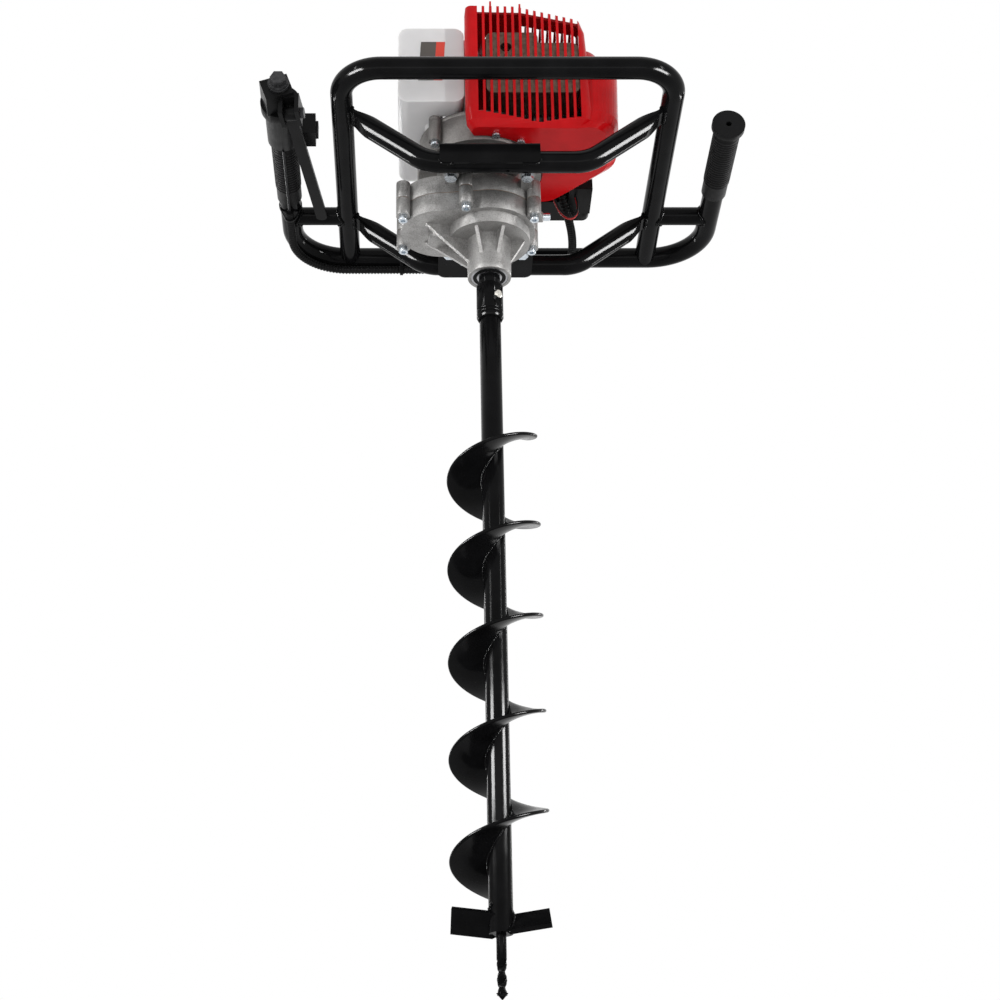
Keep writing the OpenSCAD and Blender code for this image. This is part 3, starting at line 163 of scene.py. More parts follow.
# Name, place, size and power of each area lamp
STUDIO_LAMPS = (
    ("left_strip", (-1.7, -1.3, 0.85), (0.09, 1.7), 21),
    ("right_strip", (1.7, -1.2, 0.85), (0.09, 1.7), 21),
    ("back_left_strip", (-1.5, 1.4, 0.9), (0.12, 1.4), 15),
    ("back_right_strip", (1.6, 1.3, 0.9), (0.12, 1.4), 15),
    ("top_box", (0.0, -0.4, 2.6), (1.6, 1.0), 3),
    ("low_box", (-0.1, -1.4, 0.1), (1.8, 0.5), 5),
)
BACK_STRIPS = ("back_left_strip", "back_right_strip")


def make_studio():
    bpy.context.scene.view_settings.view_transform = "Standard"
    make_camera()
    make_world()
    make_floor()
    for name, place, size, power in STUDIO_LAMPS:
        make_lamp(name, place, LAMP_TARGET, size, power)


def receivers(name, wanted):
    """Collection of the meshes that a lamp is meant for."""
    group = bpy.data.collections.new(name)
    for obj in bpy.context.scene.objects:
        if obj.type == "MESH" and wanted(obj):
            group.objects.link(obj)
    return group


def has_finish(obj, *finishes):
    return obj.data.materials and obj.data.materials[0] in [MATERIALS[name] for name in finishes]


NO_GLINT = ("pilot_drill", "front_plate", "rear_plate", "plate_flange", "cutting_blades")


def is_painted(obj):
    """Black paint apart from flat faces, which would mirror a whole panel."""
    return obj.name not in NO_GLINT and has_finish(obj, "frame_paint", "auger_paint")


FLOOR_SUN = 2.7
FLOOR_SUN_SPREAD = math.radians(60)
FLOOR_SUN_TILT = (math.radians(-12), math.radians(10), 0)


def make_floor_light():
    """Even soft light for the floor alone."""
    data = bpy.data.lights.new("floor_light", "SUN")
    data.energy = FLOOR_SUN
    data.angle = FLOOR_SUN_SPREAD
    lamp = bpy.data.objects.new("floor_light", data)
    lamp.rotation_euler = FLOOR_SUN_TILT
    bpy.context.scene.collection.objects.link(lamp)
    return lamp


def is_moulded(obj):
    return has_finish(obj, "red_plastic", "black_plastic")


def is_floor(obj):
    return obj.name == "floor"


def split_strip(strip, moulded_pieces, rest):
    """Keeps a strip lamp's mirror image off the plastic, whose flat tops it would turn white."""
    soft = strip.copy()
    soft.name = strip.name + "_soft"
    bpy.context.scene.collection.objects.link(soft)
    soft.visible_glossy = False
    soft.light_linking.receiver_collection = moulded_pieces
    strip.light_linking.receiver_collection = rest


GLINT_PANELS = (("left_glint", (-1.45, -1.0, 0.4)), ("right_glint", (1.55, -1.0, 0.4)))
GLINT_TARGET = (0, 0, 0.95)
GLINT_SIZE = (0.9, 0.55)
GLINT_POWER = 240


def share_light():
    """Sets which lamp lights what; two wide panels show only as streaks on the black paint."""
    pieces = receivers("pieces", lambda obj: not is_floor(obj))
    for lamp in [obj for obj in bpy.context.scene.objects if obj.type == "LIGHT"]:
        lamp.light_linking.receiver_collection = pieces
    moulded_pieces = receivers("moulded", is_moulded)
    rest = receivers("rest", lambda obj: not is_floor(obj) and not is_moulded(obj))
    for name in BACK_STRIPS:
        split_strip(bpy.data.objects[name], moulded_pieces, rest)
    make_floor_light().light_linking.receiver_collection = receivers("ground", is_floor)
    painted = receivers("painted", is_painted)
    for name, place in GLINT_PANELS:
        lamp = make_lamp(name, place, GLINT_TARGET, GLINT_SIZE, GLINT_POWER)
        lamp.light_linking.receiver_collection = painted
        lamp.visible_diffuse = False


# Materials


class Paint:
    """A material under construction, with short ways to add its nodes."""

    def __init__(self, name):
        self.material = bpy.data.materials.new(name)
        self.material.use_nodes = True
        self.nodes = self.material.node_tree.nodes
        self.links = self.material.node_tree.links
        self.surface = self.nodes["Principled BSDF"]
        self.place = self.nodes.new("ShaderNodeTexCoord").outputs["Object"]

    def set(self, **values):
        """Values of the shader's sockets, by name with _ for a space."""
        for key, value in values.items():
            self.surface.inputs[key.replace("_", " ")].default_value = value
        return self

    def noise(self, size, detail=3.0, roughness=0.55, stretch=(1, 1, 1)):
        """Noise whose features are about `size` metres across."""
        mapping = self.nodes.new("ShaderNodeMapping")
        mapping.inputs["Scale"].default_value = stretch
        self.links.new(self.place, mapping.inputs["Vector"])
        noise = self.nodes.new("ShaderNodeTexNoise")
        noise.inputs["Scale"].default_value = 1.0 / size
        noise.inputs["Detail"].default_value = detail
        noise.inputs["Roughness"].default_value = roughness
        self.links.new(mapping.outputs["Vector"], noise.inputs["Vector"])
        return noise.outputs["Fac"]

    def ramp(self, fac, *stops):
        """Colours by the value of a pattern; each stop is a value and its colour."""
        ramp = self.nodes.new("ShaderNodeValToRGB")
        while len(ramp.color_ramp.elements) < len(stops):
            ramp.color_ramp.elements.new(0.5)
        for element, (at, color) in zip(ramp.color_ramp.elements, stops):
            element.position = at
            element.color = (*color, 1)
        self.links.new(fac, ramp.inputs["Fac"])
        return ramp.outputs["Color"]

    def span(self, fac, low, high):
        """A pattern's middle range stretched to go from `low` to `high`."""
        span = self.nodes.new("ShaderNodeMapRange")
        span.inputs["From Min"].default_value = 0.3
        span.inputs["From Max"].default_value = 0.7
        span.inputs["To Min"].default_value = low
        span.inputs["To Max"].default_value = high
        self.links.new(fac, span.inputs["Value"])
        return span.outputs["Result"]

    def mixed(self, first, second, share):
        """Two patterns laid together, the second by `share`."""
        mix = self.nodes.new("ShaderNodeMix")
        mix.inputs["Factor"].default_value = share
        self.links.new(first, mix.inputs["A"])
        self.links.new(second, mix.inputs["B"])
        return mix.outputs["Result"]

    def color(self, output):
        self.links.new(output, self.surface.inputs["Base Color"])
        return self

    def roughness(self, output):
        self.links.new(output, self.surface.inputs["Roughness"])
        return self

    def bump(self, height, depth):
        """Adds a bump of `depth` metres over those already there."""
        bump = self.nodes.new("ShaderNodeBump")
        bump.inputs["Distance"].default_value = depth
        bump.inputs["Strength"].default_value = 1.0
        self.links.new(height, bump.inputs["Height"])
        old = self.surface.inputs["Normal"]
        if old.is_linked:
            self.links.new(old.links[0].from_socket, bump.inputs["Normal"])
        self.links.new(bump.outputs["Normal"], old)
        return self


def gloss_paint(name, dark, light, rough):
    """Gloss enamel over steel, with orange peel and faint dust."""
    p = Paint(name).set(Metallic=0.0, Specular_IOR_Level=0.05, IOR=1.5)
    dust = p.noise(size=0.03, detail=5)
    p.color(p.ramp(dust, (0.35, dark), (0.75, light)))
    p.roughness(p.span(p.noise(size=0.012, detail=4), rough, rough + 0.06))
    p.bump(p.noise(size=0.0022, detail=2), depth=0.00001)
    return p.material


def cast_metal(name, dark, light, rough):
    """Sand cast aluminium: a fine speckled and pitted skin with soft stains."""
    p = Paint(name).set(Metallic=0.75)
    stains = p.noise(size=0.02, detail=6, roughness=0.65)
    speckle = p.noise(size=0.0013, detail=2)
    p.color(p.ramp(p.mixed(stains, speckle, 0.5), (0.36, dark), (0.64, light)))
    p.roughness(p.span(p.noise(size=0.0015, detail=3), rough - 0.08, rough + 0.1))
    p.bump(p.noise(size=0.0009, detail=4, roughness=0.7), depth=0.00022)
    p.bump(p.noise(size=0.006, detail=3), depth=0.00018)
    return p.material


def turned_metal(name, dark, light, rough, metallic=1.0):
    """Machined or plated steel with fine marks."""
    p = Paint(name).set(Metallic=metallic)
    p.color(p.ramp(p.noise(size=0.004, detail=5), (0.3, dark), (0.7, light)))
    p.roughness(p.span(p.noise(size=0.002, detail=4), rough, rough + 0.14))
    p.bump(p.noise(size=0.0006, detail=2, stretch=(1, 1, 6)), depth=0.00001)
    return p.material


def moulded(name, dark, light, rough, grain, depth, gloss=0.5):
    """Moulded plastic or rubber, with a grain of a given size and depth in metres."""
    p = Paint(name).set(Metallic=0.0, Specular_IOR_Level=gloss)
    p.color(p.ramp(p.noise(size=0.025, detail=4), (0.3, dark), (0.7, light)))
    p.roughness(p.span(p.noise(size=0.008, detail=4), rough - 0.04, rough + 0.08))
    p.bump(p.noise(size=grain, detail=2), depth)
    return p.material


def milky(name, dark, light, rough, glow):
    """Natural blow moulded plastic that lets light in."""
    p = Paint(name).set(Subsurface_Weight=glow, Subsurface_Radius=(0.02, 0.02, 0.018))
    p.set(Subsurface_Scale=1.0)
    p.color(p.ramp(p.noise(size=0.05, detail=3), (0.3, dark), (0.7, light)))
    p.roughness(p.span(p.noise(size=0.01, detail=3), rough, rough + 0.12))
    p.bump(p.noise(size=0.004, detail=3), depth=0.00005)
    return p.material


DEEP_BLACK = (0.003, 0.003, 0.0032)
DUSTY_BLACK = (0.006, 0.006, 0.0065)
PLASTIC_BLACK = (0.004, 0.004, 0.004)
WORN_BLACK = (0.007, 0.007, 0.0075)
# How each finish is made, its darkest and lightest colour, its roughness and the rest
FINISHES = {
    "auger_paint": (gloss_paint, DEEP_BLACK, DUSTY_BLACK, 0.13),
    "frame_paint": (gloss_paint, DEEP_BLACK, DUSTY_BLACK, 0.1),
    "gear_steel": (turned_metal, (0.28, 0.28, 0.29), (0.45, 0.45, 0.46), 0.28),
    "bright_steel": (turned_metal, (0.62, 0.6, 0.55), (0.78, 0.76, 0.7), 0.22),
    "zinc_screws": (turned_metal, (0.5, 0.56, 0.62), (0.78, 0.82, 0.86), 0.2),
    "bearing_steel": (turned_metal, (0.3, 0.3, 0.31), (0.5, 0.5, 0.52), 0.25),
    "cast_aluminium": (cast_metal, (0.2, 0.195, 0.19), (0.41, 0.404, 0.396), 0.44),
    # A darker copy of cast aluminium: painted shade for the crankcase and fan case behind the front bar
    "engine_aluminium": (cast_metal, (0.15, 0.14, 0.135), (0.25, 0.24, 0.23), 0.46),
    "gasket_paper": (moulded, (0.16, 0.08, 0.04), (0.3, 0.17, 0.09), 0.8, 0.0008, 0.0001),
    "red_plastic": (moulded, (0.46, 0.003, 0.005), (0.56, 0.005, 0.008), 0.16, 0.003, 0.00001, 0.12),
    # Heat-tinted brown steel; its colour is also darkened about three times as painted shade for its
    # place inside the shroud
    "muffler_steel": (turned_metal, (0.1, 0.07, 0.05), (0.22, 0.17, 0.13), 0.42, 0.7),
    "plug": (turned_metal, (0.6, 0.6, 0.58), (0.8, 0.8, 0.78), 0.25),
    "black_rubber": (moulded, PLASTIC_BLACK, WORN_BLACK, 0.5, 0.0012, 0.00006, 0.08),
    "black_plastic": (moulded, PLASTIC_BLACK, WORN_BLACK, 0.3, 0.0009, 0.00003, 0.08),
    "black_bolts": (turned_metal, (0.02, 0.02, 0.022), (0.05, 0.05, 0.052), 0.3, 0.6),
    "clear_rubber": (milky, (0.6, 0.47, 0.24), (0.7, 0.58, 0.34), 0.3, 0.3),
    "tank_plastic": (milky, (0.78, 0.77, 0.755), (0.85, 0.84, 0.825), 0.32, 0.5),
    "cable_sleeve": (moulded, (0.008, 0.008, 0.009), (0.016, 0.016, 0.017), 0.4, 0.001, 0.00003, 0.12),
    "wire_red": (moulded, (0.32, 0.01, 0.01), (0.45, 0.02, 0.02), 0.35, 0.001, 0.00002),
    "label_dark": (moulded, (0.05, 0.042, 0.036), (0.065, 0.055, 0.048), 0.4, 0.002, 0.00001),
    "label_red": (moulded, (0.52, 0.035, 0.02), (0.58, 0.045, 0.025), 0.4, 0.002, 0.00001),
}


def make_materials():
    return {name: make(name, *values) for name, (make, *values) in FINISHES.items()}


EDGE_ROUND = {"default": 0.4 * MM, "cast_aluminium": 0.8 * MM, "red_plastic": 0.6 * MM}
EDGE_ANGLE = math.radians(32)
WELD_REACH = 0.000005
# Castings that take the darker aluminium copy as painted shade
PAINTED_SHADE_CASTINGS = ("crankcase", "fan_case")
PLAIN_TUBES = ("front_cradle", "rear_cradle", "front_loop", "handlebar", "handle_struts")


def dress_node(node, slot, materials):
    """Gives a solid its finish and softens its edges; round tubes have none to soften."""
    obj = NODES[node]
    # The crankcase and fan case get the darker copy of cast aluminium: painted shade
    finish = "engine_aluminium" if node in PAINTED_SHADE_CASTINGS else slot
    obj.data.materials.clear()
    obj.data.materials.append(materials[finish])
    if node in PLAIN_TUBES:
        return
    weld = obj.modifiers.new("weld", "WELD")
    weld.merge_threshold = WELD_REACH
    bevel = obj.modifiers.new("edge", "BEVEL")
    bevel.width = EDGE_ROUND.get(slot, EDGE_ROUND["default"])
    bevel.segments = 2
    bevel.limit_method = "ANGLE"
    bevel.angle_limit = EDGE_ANGLE
    bevel.harden_normals = True
    bevel.use_clamp_overlap = True


def dress_solids(materials):
    for part in frame["record"]["subparts"]:
        dress_node(part["node"], part["material_slot"], materials)


# Mesh building

UPRIGHT = (0, 0, 1)


def add_mesh(name, verts, faces, slot, body, sharp=35, finish=None):
    """Makes a piece from points in metres, shaded smooth up to `sharp` degrees, that rides on a body."""
    mesh = bpy.data.meshes.new(name)
    mesh.from_pydata([tuple(v) for v in verts], [], faces)
    mesh.validate()
    work = bmesh.new()
    work.from_mesh(mesh)
    bmesh.ops.recalc_face_normals(work, faces=work.faces)
    work.to_mesh(mesh)
    work.free()
    mesh.shade_smooth()
    mesh.set_sharp_from_angle(angle=math.radians(sharp))
    mesh.materials.append(MATERIALS[finish or slot])
    obj = bpy.data.objects.new(name, mesh)
    bpy.context.scene.collection.objects.link(obj)
    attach(obj, body)
    return obj


def bridge(rings, closed):
    """Quads between rings of equal count, with flat ends unless the rings close on themselves."""
    count = len(rings[0])
    verts = [v for ring in rings for v in ring]
    faces = []
    steps = len(rings) if closed else len(rings) - 1
    for i in range(steps):
        a, b = i * count, (i + 1) % len(rings) * count
        for j in range(count):
            k = (j + 1) % count
            faces.append((a + j, a + k, b + k, b + j))
    if not closed:
        faces.append(tuple(reversed(range(count))))
        faces.append(tuple(range(len(verts) - count, len(verts))))
    return verts, faces


def frames_along(points):
    """Direction, side and top at each point of a line, with as little twist as can be."""
    last = len(points) - 1
    found = []
    side = None
    for i in range(last + 1):
        ahead = (points[min(i + 1, last)] - points[max(i - 1, 0)]).normalized()
        if side is None:
            side = ahead.orthogonal().normalized()
        side = (side - ahead * side.dot(ahead)).normalized()
        found.append((ahead, side, ahead.cross(side)))
    return found


def sweep(name, points, radius, slot, body, sides=12, closed=False):
    """Round tube along points; radius is a function of the point's number."""
    points = [Vector(p) for p in points]
    rings = []
    for i, (_, side, top) in enumerate(frames_along(points)):
        turns = [2 * math.pi * j / sides for j in range(sides)]
        rings.append([points[i] + radius(i) * (side * math.cos(a) + top * math.sin(a)) for a in turns])
    return add_mesh(name, *bridge(rings, closed), slot, body, 60)


def lathe(name, profile, place, axis, slot, body, sides=72):
    """Turned ring: a closed profile of (radius, height) in millimetres about an axis."""
    turn = Vector(UPRIGHT).rotation_difference(Vector(axis)).to_matrix()
    place = Vector(place) * MM
    rings = []
    for i in range(sides):
        a = 2 * math.pi * i / sides
        ring = [Vector((r * math.cos(a), r * math.sin(a), h)) * MM for r, h in profile]
        rings.append([place + turn @ v for v in ring])
    return add_mesh(name, *bridge(rings, True), slot, body)


BEAD_SIDES = 8
BEAD_WAVE = 0.16
BEAD_WAVE_STEP = 1.9
BEAD_UNEVEN = 0.14


def ripple(i, seed):
    """Uneven value from -1 to 1, the same on every run."""
    return math.sin(i * 12.9898 + seed * 78.233) * math.cos(i * 4.137 + seed * 3.7)


def bead(name, points, size, body="frame", slot="frame_paint", closed=False, seed=1.0):
    """Weld bead: overlapping ripples along a line of points in millimetres."""
    def radius(i):
        wave = BEAD_WAVE * math.sin(i * BEAD_WAVE_STEP) + BEAD_UNEVEN * ripple(i, seed)
        return size * MM * (1 + wave)
    return sweep(name, [Vector(p) * MM for p in points], radius, slot, body, BEAD_SIDES, closed)


# Routes


def straight(a, b, count):
    """Line in `count` equal steps."""
    a, b = Vector(a), Vector(b)
    return [a.lerp(b, i / count) for i in range(count + 1)]


def arc(centre, radius, start, end, height, count):
    """Part of a circle in a level plane, with angles in degrees."""
    points = []
    for i in range(count + 1):
        a = math.radians(start + (end - start) * i / count)
        x, y = centre[0] + radius * math.cos(a), centre[1] + radius * math.sin(a)
        points.append(Vector((x, y, height)))
    return points


def bezier(a, b, c, d, count):
    """Curve from a to d, drawn towards b and c."""
    a, b, c, d = (Vector(p) for p in (a, b, c, d))
    points = []
    for i in range(count + 1):
        t = i / count
        u = 1 - t
        points.append(u * u * u * a + 3 * u * u * t * b + 3 * u * t * t * c + t * t * t * d)
    return points


def length_of(points):
    return sum((b - a).length for a, b in zip(points, points[1:]))


def evenly(points, step):
    """The same line with points about `step` apart."""
    total = length_of(points)
    count = max(2, round(total / step))
    marks = [0.0]
    for a, b in zip(points, points[1:]):
        marks.append(marks[-1] + (b - a).length)
    found = []
    k = 0
    for i in range(count + 1):
        s = total * i / count
        while k < len(marks) - 2 and marks[k + 1] < s:
            k += 1
        span = marks[k + 1] - marks[k]
        found.append(points[k].lerp(points[k + 1], (s - marks[k]) / span if span else 0))
    return found


# Cords, along the same routes as their solids, in millimetres

LEFT_X = -235.5
UNDER_Z = 959.9
REAR_Y = 210
BEND_R = 66
RISE_X = 75
RISE_R = 35
CONDUIT_START = 82
CONDUIT_D = 10.4
CONDUIT_RIB = 4.0
CONDUIT_SIDES = 18
RIB_DEPTH = 0.45
RIB_SQUARENESS = 1.7
RINGS_PER_RIB = 6
CORD_STEP = 1.5
CORD_SIDES = 14
CABLE_R = 1.6
HOSE_R = 3.0
WIRE_R = 1.2


def conduit_route():
    """Under the left arm, round the back of the handlebar and up to the engine."""
    bend = LEFT_X + BEND_R
    line = straight((LEFT_X, CONDUIT_START, UNDER_Z), (LEFT_X, REAR_Y - BEND_R, UNDER_Z), 12)
    line += arc((bend, REAR_Y - BEND_R), BEND_R, 180, 90, UNDER_Z, 30)[1:]
    line += straight((bend, REAR_Y, UNDER_Z), (RISE_X, REAR_Y, UNDER_Z), 30)[1:]
    line += arc((RISE_X, REAR_Y - RISE_R), RISE_R, 90, 0, UNDER_Z, 20)[1:]
    rise = [(110, 175, UNDER_Z), (110, 105, UNDER_Z), (89, 72, 956.6), (89, 72, 1016.6)]
    line += bezier(*rise, 50)[1:]
    return line


def declare_cord(node):
    """Hides the solid of a cord, which a swept tube takes the place of."""
    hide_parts(node)


def make_conduit():
    line = evenly(conduit_route(), CONDUIT_RIB / RINGS_PER_RIB)

    def radius(i):
        wave = RIB_SQUARENESS * math.cos(2 * math.pi * i / RINGS_PER_RIB)
        return (CONDUIT_D / 2 - RIB_DEPTH + RIB_DEPTH * max(-1, min(1, wave))) * MM
    path = [p * MM for p in line]
    obj = sweep("ribbed_conduit", path, radius, "black_plastic", "frame", CONDUIT_SIDES)
    declare_cord("conduit")


def make_plain_cord(name, node, line, size, slot):
    line = evenly(line, CORD_STEP)
    obj = sweep(name, [p * MM for p in line], lambda i: size * MM, slot, "frame", CORD_SIDES)
    declare_cord(node)


def make_cords():
    make_conduit()
    cable = straight((LEFT_X, -38.4, UNDER_Z), (LEFT_X, 93.6, UNDER_Z), 40)
    make_plain_cord("throttle_cable_sleeve", "throttle_cable", cable, CABLE_R,
                    "cable_sleeve")
    hose = bezier((-51.8, 62, 1018.1), (-19, 62, 1018.1), (29, 78, 1036.6), (55.8, 78, 1036.6), 40)
    make_plain_cord("fuel_line", "fuel_hose", hose, HOSE_R, "clear_rubber")
    loop = [(108, 78, 977), (122, 76, 931.6), (75, 86, 933.6), (80, 73, 1015.6)]
    wires = (("stop_wire_red", "wire_red", 0), ("stop_wire_black", "cable_sleeve", -4.6))
    for name, slot, shift in wires:
        wire = bezier(*[(x, y + shift, z) for x, y, z in loop], 60)
        make_plain_cord(name, "stop_wires", wire, WIRE_R, slot)


# Bit

FLIGHT_R = 50.0
FLIGHT_IN = 12.1
FLIGHT_BETWEEN = (24, 37)
FLIGHT_T = 4.0
FLIGHT_PITCH = 105.0
FLIGHT_START = 17.0
FLIGHT_STEPS = 180
END_TAPER = 34.0
END_INSET = 8
END_CURVE = 1.5
LOW_TRIM = 6.0
STEM_R = 12.0
STEM_BEAD_R = STEM_R + 0.5


def flight_heights():
    """Middle of the plate at its lower and upper end."""
    low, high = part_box("auger_flight")
    return low.z / MM + FLIGHT_T / 2 + LOW_TRIM, high.z / MM - FLIGHT_T / 2


def flight_angle(z, top):
    return math.radians(FLIGHT_START + (z - top) / FLIGHT_PITCH * 360)


def flight_section(outer):
    """Outline of the plate, with a rounded rim."""
    half = FLIGHT_T / 2
    rim = [(outer - half + half * math.cos(a), half * math.sin(a))
           for a in (math.radians(d) for d in range(-75, 76, 25))]
    radii = [FLIGHT_IN, *FLIGHT_BETWEEN, outer - half]
    under = [(r, -half) for r in radii]
    over = [(r, half) for r in reversed(radii)]
    return under + rim + over


def make_flight():
    low, top = flight_heights()
    count = math.ceil((top - low) / FLIGHT_PITCH * FLIGHT_STEPS)
    rings = []
    for i in range(count + 1):
        z = low + (top - low) * i / count
        a = flight_angle(z, top)
        left = (top - z) / FLIGHT_PITCH * 360
        outer = FLIGHT_R - END_INSET * max(0, 1 - left / END_TAPER) ** END_CURVE
        section = flight_section(outer)
        rings.append([Vector((r * math.cos(a), r * math.sin(a), z + h)) * MM for r, h in section])
    obj = add_mesh("helical_flight", *bridge(rings, False), "auger_paint", "auger", 40)
    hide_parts("auger_flight")


FLIGHT_BEAD = 1.3
FLIGHT_BEAD_LIFT = FLIGHT_T / 2 + 0.3
FLIGHT_BEAD_INSET = 2
BEAD_POINTS_PER_MM = 2.2


def make_flight_weld():
    """Beads along the stem, under and over the plate."""
    low, top = flight_heights()
    for name, side in (("flight_weld_lower", -1), ("flight_weld_upper", 1)):
        points = []
        for i in range(int((top - low) * BEAD_POINTS_PER_MM)):
            z = low + FLIGHT_BEAD_INSET + i / BEAD_POINTS_PER_MM
            if z > top - FLIGHT_BEAD_INSET:
                break
            a = flight_angle(z, top)
            lift = side * FLIGHT_BEAD_LIFT
            points.append((STEM_BEAD_R * math.cos(a), STEM_BEAD_R * math.sin(a), z + lift))
        bead(name, points, FLIGHT_BEAD, "auger", "auger_paint", seed=2.0 + side)


NECK_Z = 800.3


def make_neck():
    """Painted neck of the shaft between the bearing and the socket."""
    profile = [(10.1, 0), (11.8, 0), (12.0, 0.4), (12.0, 12.2), (11.6, 12.7), (10.1, 12.7)]
    lathe("shaft_neck", profile, (0, 0, NECK_Z), UPRIGHT, "auger_paint", "auger")


# Gearbox details


def make_seal():
    """Rubber lip seal in the mouth of the boss, between two steel rings."""
    low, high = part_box("output_bearings")
    outer = (high.x - low.x) / 2 / MM
    face = low.z / MM
    ring = [(outer - 2.2, -0.2), (outer - 0.3, -0.2), (outer - 0.3, 0.4), (outer - 2.2, 0.4)]
    lathe("bearing_outer_ring", ring, (0, 0, face), UPRIGHT, "bearing_steel", "frame")
    rubber = [(14.4, -0.1), (15.2, -0.35), (outer - 4.5, -0.35), (outer - 3.8, 0.1), (outer - 3.2, -0.2),
              (outer - 2.4, -0.2), (outer - 2.4, 0.5), (14.4, 0.5)]
    lathe("bearing_seal", rubber, (0, 0, face), UPRIGHT, "black_rubber", "frame")
    inner = [(12.3, -0.15), (14.2, -0.15), (14.2, 0.5), (12.3, 0.5)]
    lathe("bearing_inner_ring", inner, (0, 0, face), UPRIGHT, "bearing_steel", "auger")


# Frame welds

TUBE_R = 12.5
LOOP_X = (-166.5, 204.5)
ARM_X = (-235.5, 273.5)
STRUT_Y = 118
STRUT_R = TUBE_R - 1.2
STRUT_BEAD = 2.0
FRAME_Z = 978
SADDLE_LIFT = 0.6


def saddle(x, y, z, toward, main_r, branch_r, count=56):
    """Line where a level tube along X meets a tube along Y."""
    points = []
    for i in range(count):
        a = 2 * math.pi * i / count
        up, along = branch_r * math.sin(a), branch_r * math.cos(a)
        reach = math.sqrt(max(0.0, main_r ** 2 - up ** 2))
        points.append((x + toward * (reach + SADDLE_LIFT), y + along, z + up))
    return points


def make_frame_welds():
    """Beads round both ends of the two struts between the loop and the handlebar."""
    for k, (loop, arm) in enumerate(zip(LOOP_X, ARM_X)):
        out = -1 if k == 0 else 1
        name = "left" if k == 0 else "right"
        inner = saddle(loop, STRUT_Y, FRAME_Z, out, TUBE_R, STRUT_R)
        outer = saddle(arm, STRUT_Y, FRAME_Z, -out, TUBE_R, STRUT_R)
        bead(f"strut_weld_inner_{name}", inner, STRUT_BEAD, closed=True, seed=k + 3)
        bead(f"strut_weld_outer_{name}", outer, STRUT_BEAD, closed=True, seed=k + 5)


CRADLE_Y = (-90, 118)
CRADLE_Z = 907.4
CRADLE_HALF = 90
CRADLE_X = 19
CRADLE_BEAD = 1.9
CRADLE_BEAD_HALF = 11.5
CRADLE_BEAD_R = TUBE_R + 0.3
CRADLE_BEAD_TURN = 0.3


def make_cradle_welds():
    """Beads along both sides of the flattened cradle ends, on the sides of the loop."""
    for k, loop in enumerate(LOOP_X):
        inward = 1 if k == 0 else -1
        hand = "left" if k == 0 else "right"
        lean = math.atan2(FRAME_Z - CRADLE_Z, abs(loop - CRADLE_X) - CRADLE_HALF)
        for n, y in enumerate(CRADLE_Y):
            for side, level in ((-1, "top"), (1, "low")):
                a = lean + side * CRADLE_BEAD_TURN
                x = loop + inward * CRADLE_BEAD_R * math.cos(a)
                z = FRAME_Z - CRADLE_BEAD_R * math.sin(a)
                line = straight((x, y - CRADLE_BEAD_HALF, z), (x, y + CRADLE_BEAD_HALF, z), 22)
                bead(f"cradle_weld_{hand}_{n}_{level}", line, CRADLE_BEAD, seed=k + 2 * n + side)


FLANGE_X = (-57, 55)
FLANGE_W = FLANGE_X[1] - FLANGE_X[0]
FLANGE_FRONT = -105.2
FLANGE_T = 2.5
FLANGE_BEND = 4.0
FLANGE_LOW = 895.5
FLANGE_CORNER = 7.0
FLANGE_BEAD = 1.3
FLANGE_BEAD_Y = FLANGE_FRONT + FLANGE_T - 0.4
FLANGE_BEAD_DROP = 0.5
FLANGE_BEAD_STEPS = 24


def flange_low(x):
    """Lower edge of the flange, with round corners."""
    reach = max(0.0, FLANGE_CORNER - min(x - FLANGE_X[0], FLANGE_X[1] - x))
    return FLANGE_LOW + FLANGE_CORNER - math.sqrt(FLANGE_CORNER ** 2 - reach ** 2)


def flange_bend(top, radius):
    """Quarter round from the plate down to the flange, as points in Y and Z."""
    y, z = FLANGE_FRONT + FLANGE_BEND, top - FLANGE_BEND
    turns = [math.radians(d) for d in range(0, 91, 15)]
    return [(y - radius * math.sin(a), z + radius * math.cos(a)) for a in turns]


def make_flange():
    """Front edge of the mounting plate, bent down over the tube."""
    low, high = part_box("front_plate")
    top, back = high.z / MM - 0.1, low.y / MM + 1.0
    outer = flange_bend(top, FLANGE_BEND)
    inner = flange_bend(top, FLANGE_BEND - FLANGE_T)
    marks = [FLANGE_CORNER * (1 - math.cos(math.radians(d))) for d in range(0, 91, 10)]
    spots = [FLANGE_X[0] + m for m in marks] + [FLANGE_X[1] - m for m in reversed(marks)]
    rings = []
    for x in spots:
        edge = flange_low(x)
        profile = [(back, top), *outer, (FLANGE_FRONT, edge), (FLANGE_FRONT + FLANGE_T, edge)]
        profile += [*reversed(inner), (back, top - FLANGE_T)]
        rings.append([Vector((x, y, z)) * MM for y, z in profile])
    add_mesh("plate_flange", *bridge(rings, False), "frame_paint", "frame")
    for name, start, end in (("left", 0.0, 16.0), ("right", FLANGE_W - 20.0, FLANGE_W)):
        line = []
        for i in range(FLANGE_BEAD_STEPS + 1):
            x = FLANGE_X[0] + start + (end - start) * i / FLANGE_BEAD_STEPS
            line.append((x, FLANGE_BEAD_Y, flange_low(x) - FLANGE_BEAD_DROP))
        bead(f"flange_weld_{name}", line, FLANGE_BEAD, seed=start)


SCREW_SIDES = 48
SOCKET_SHARE = 0.52
SOCKET_FLOOR = 0.45


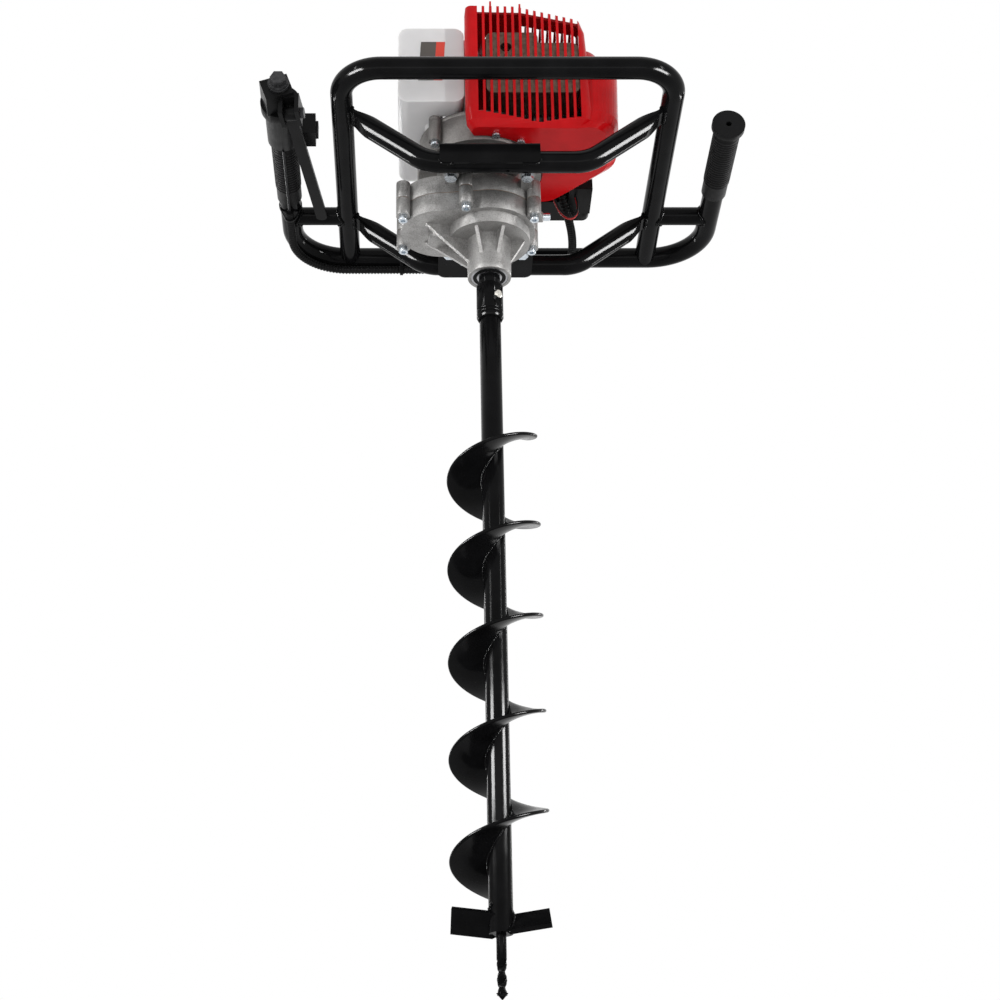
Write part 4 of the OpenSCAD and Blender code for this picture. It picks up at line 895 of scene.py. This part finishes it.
def cap_screw(name, place, axis, radius, length):
    """Socket head: rounded rim and a six-sided recess; place is the foot of the head."""
    turn = Vector(UPRIGHT).rotation_difference(Vector(axis)).to_matrix()
    place = Vector(place)
    hexagon = radius * SOCKET_SHARE

    def ring(r, h, six=False):
        points = []
        for i in range(SCREW_SIDES):
            a = 2 * math.pi * i / SCREW_SIDES
            reach = r
            if six:
                reach = r / math.cos((a + math.pi / 6) % (math.pi / 3) - math.pi / 6)
            points.append((place + turn @ Vector((reach * math.cos(a), reach * math.sin(a), h))) * MM)
        return points
    rings = [ring(radius, 0), ring(radius, length - 0.8), ring(radius - 0.25, length - 0.25)]
    rings += [ring(radius - 0.8, length), ring(hexagon, length, True)]
    rings.append(ring(hexagon, length * SOCKET_FLOOR, True))
    add_mesh(name, *bridge(rings, False), "zinc_screws", "frame")


PLUG_PLACE = (62.0, -15.0, 885.0)
PLUG_AXIS = (1, 0, 0)
PLUG_R = 4.4
PLUG_LENGTH = 8.0


def make_side_plug():
    """Screwed plug in a short boss on the side of the gearbox."""
    boss = [(0.2, -12), (6.0, -12), (6.0, -0.8), (5.4, -0.1), (0.2, -0.1)]
    lathe("side_boss", boss, PLUG_PLACE, PLUG_AXIS, "cast_aluminium", "frame")
    cap_screw("side_plug", PLUG_PLACE, PLUG_AXIS, PLUG_R, PLUG_LENGTH)


LABEL_TOP = 1085.5
LABEL_LOW = 1030.0
LABEL_X = (-77.5, -59.7, -49.6)
LABEL_LIFT = 0.2
LABEL_LEAN = 0.06
LABEL_COLUMNS = 10
LABEL_ROWS = 24
BEFORE_TANK = -400


def make_label(name, left, right, slot, finish):
    """Bare sticker laid on the front of the tank."""
    tank = NODES["fuel_tank"]
    depsgraph = bpy.context.evaluated_depsgraph_get()
    tree = BVHTree.FromObject(tank, depsgraph)
    back = tank.matrix_world.inverted()
    ahead = (back.to_3x3() @ Vector((0, 1, 0))).normalized()
    verts = []
    for j in range(LABEL_ROWS + 1):
        z = LABEL_LOW + (LABEL_TOP - LABEL_LOW) * j / LABEL_ROWS
        for i in range(LABEL_COLUMNS + 1):
            x = left + (right - left) * i / LABEL_COLUMNS - LABEL_LEAN * (LABEL_TOP - z)
            start = back @ (Vector((x, BEFORE_TANK, z)) * MM)
            spot, normal, _, _ = tree.ray_cast(start, ahead)
            verts.append(tank.matrix_world @ (spot + normal * LABEL_LIFT * MM))
    faces = []
    row = LABEL_COLUMNS + 1
    for j in range(LABEL_ROWS):
        for i in range(LABEL_COLUMNS):
            a = j * row + i
            faces.append((a, a + 1, a + row + 1, a + row))
    add_mesh(name, verts, faces, slot, "frame", finish=finish)


def make_labels():
    """The label's dark field and the red strip beside it."""
    bpy.context.view_layer.update()
    make_label("tank_label", LABEL_X[0], LABEL_X[1], "black_plastic", "label_dark")
    make_label("tank_label_strip", LABEL_X[1], LABEL_X[2], "wire_red", "label_red")


BLADE_TURN = -6
BLADE_BEAD = 1.7
BLADE_BEAD_STEPS = 28
BLADE_BEAD_SWEEP = 78
BLADE_BEAD_SHIFT = 13
BLADE_BEAD_CLIMB = 20
BLADE_BEAD_LIFT = 4.5
BLADE_BEAD_MIDDLE = 2


def make_blade_welds():
    """Beads where the two blades meet the stem."""
    low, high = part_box("cutting_blades")
    middle = (low.z + high.z) / 2 / MM
    for n, start in enumerate((BLADE_TURN, BLADE_TURN + 180)):
        for side, level in ((-1, "low"), (1, "top")):
            line = []
            for i in range(BLADE_BEAD_STEPS + 1):
                t = i / BLADE_BEAD_STEPS - 0.5
                a = math.radians(start + t * BLADE_BEAD_SWEEP + side * BLADE_BEAD_SHIFT)
                z = middle + BLADE_BEAD_MIDDLE + t * BLADE_BEAD_CLIMB + side * BLADE_BEAD_LIFT
                line.append((STEM_BEAD_R * math.cos(a), STEM_BEAD_R * math.sin(a), z))
            bead(f"blade_weld_{n}_{level}", line, BLADE_BEAD, "auger", "auger_paint", seed=n + side)


def make_details():
    make_neck()
    make_seal()
    make_frame_welds()
    make_cradle_welds()
    make_flange()
    make_side_plug()
    make_labels()
    make_flight_weld()
    make_blade_welds()


make_studio()
MATERIALS = make_materials()
dress_solids(MATERIALS)
make_cords()
make_flight()
make_details()
share_light()
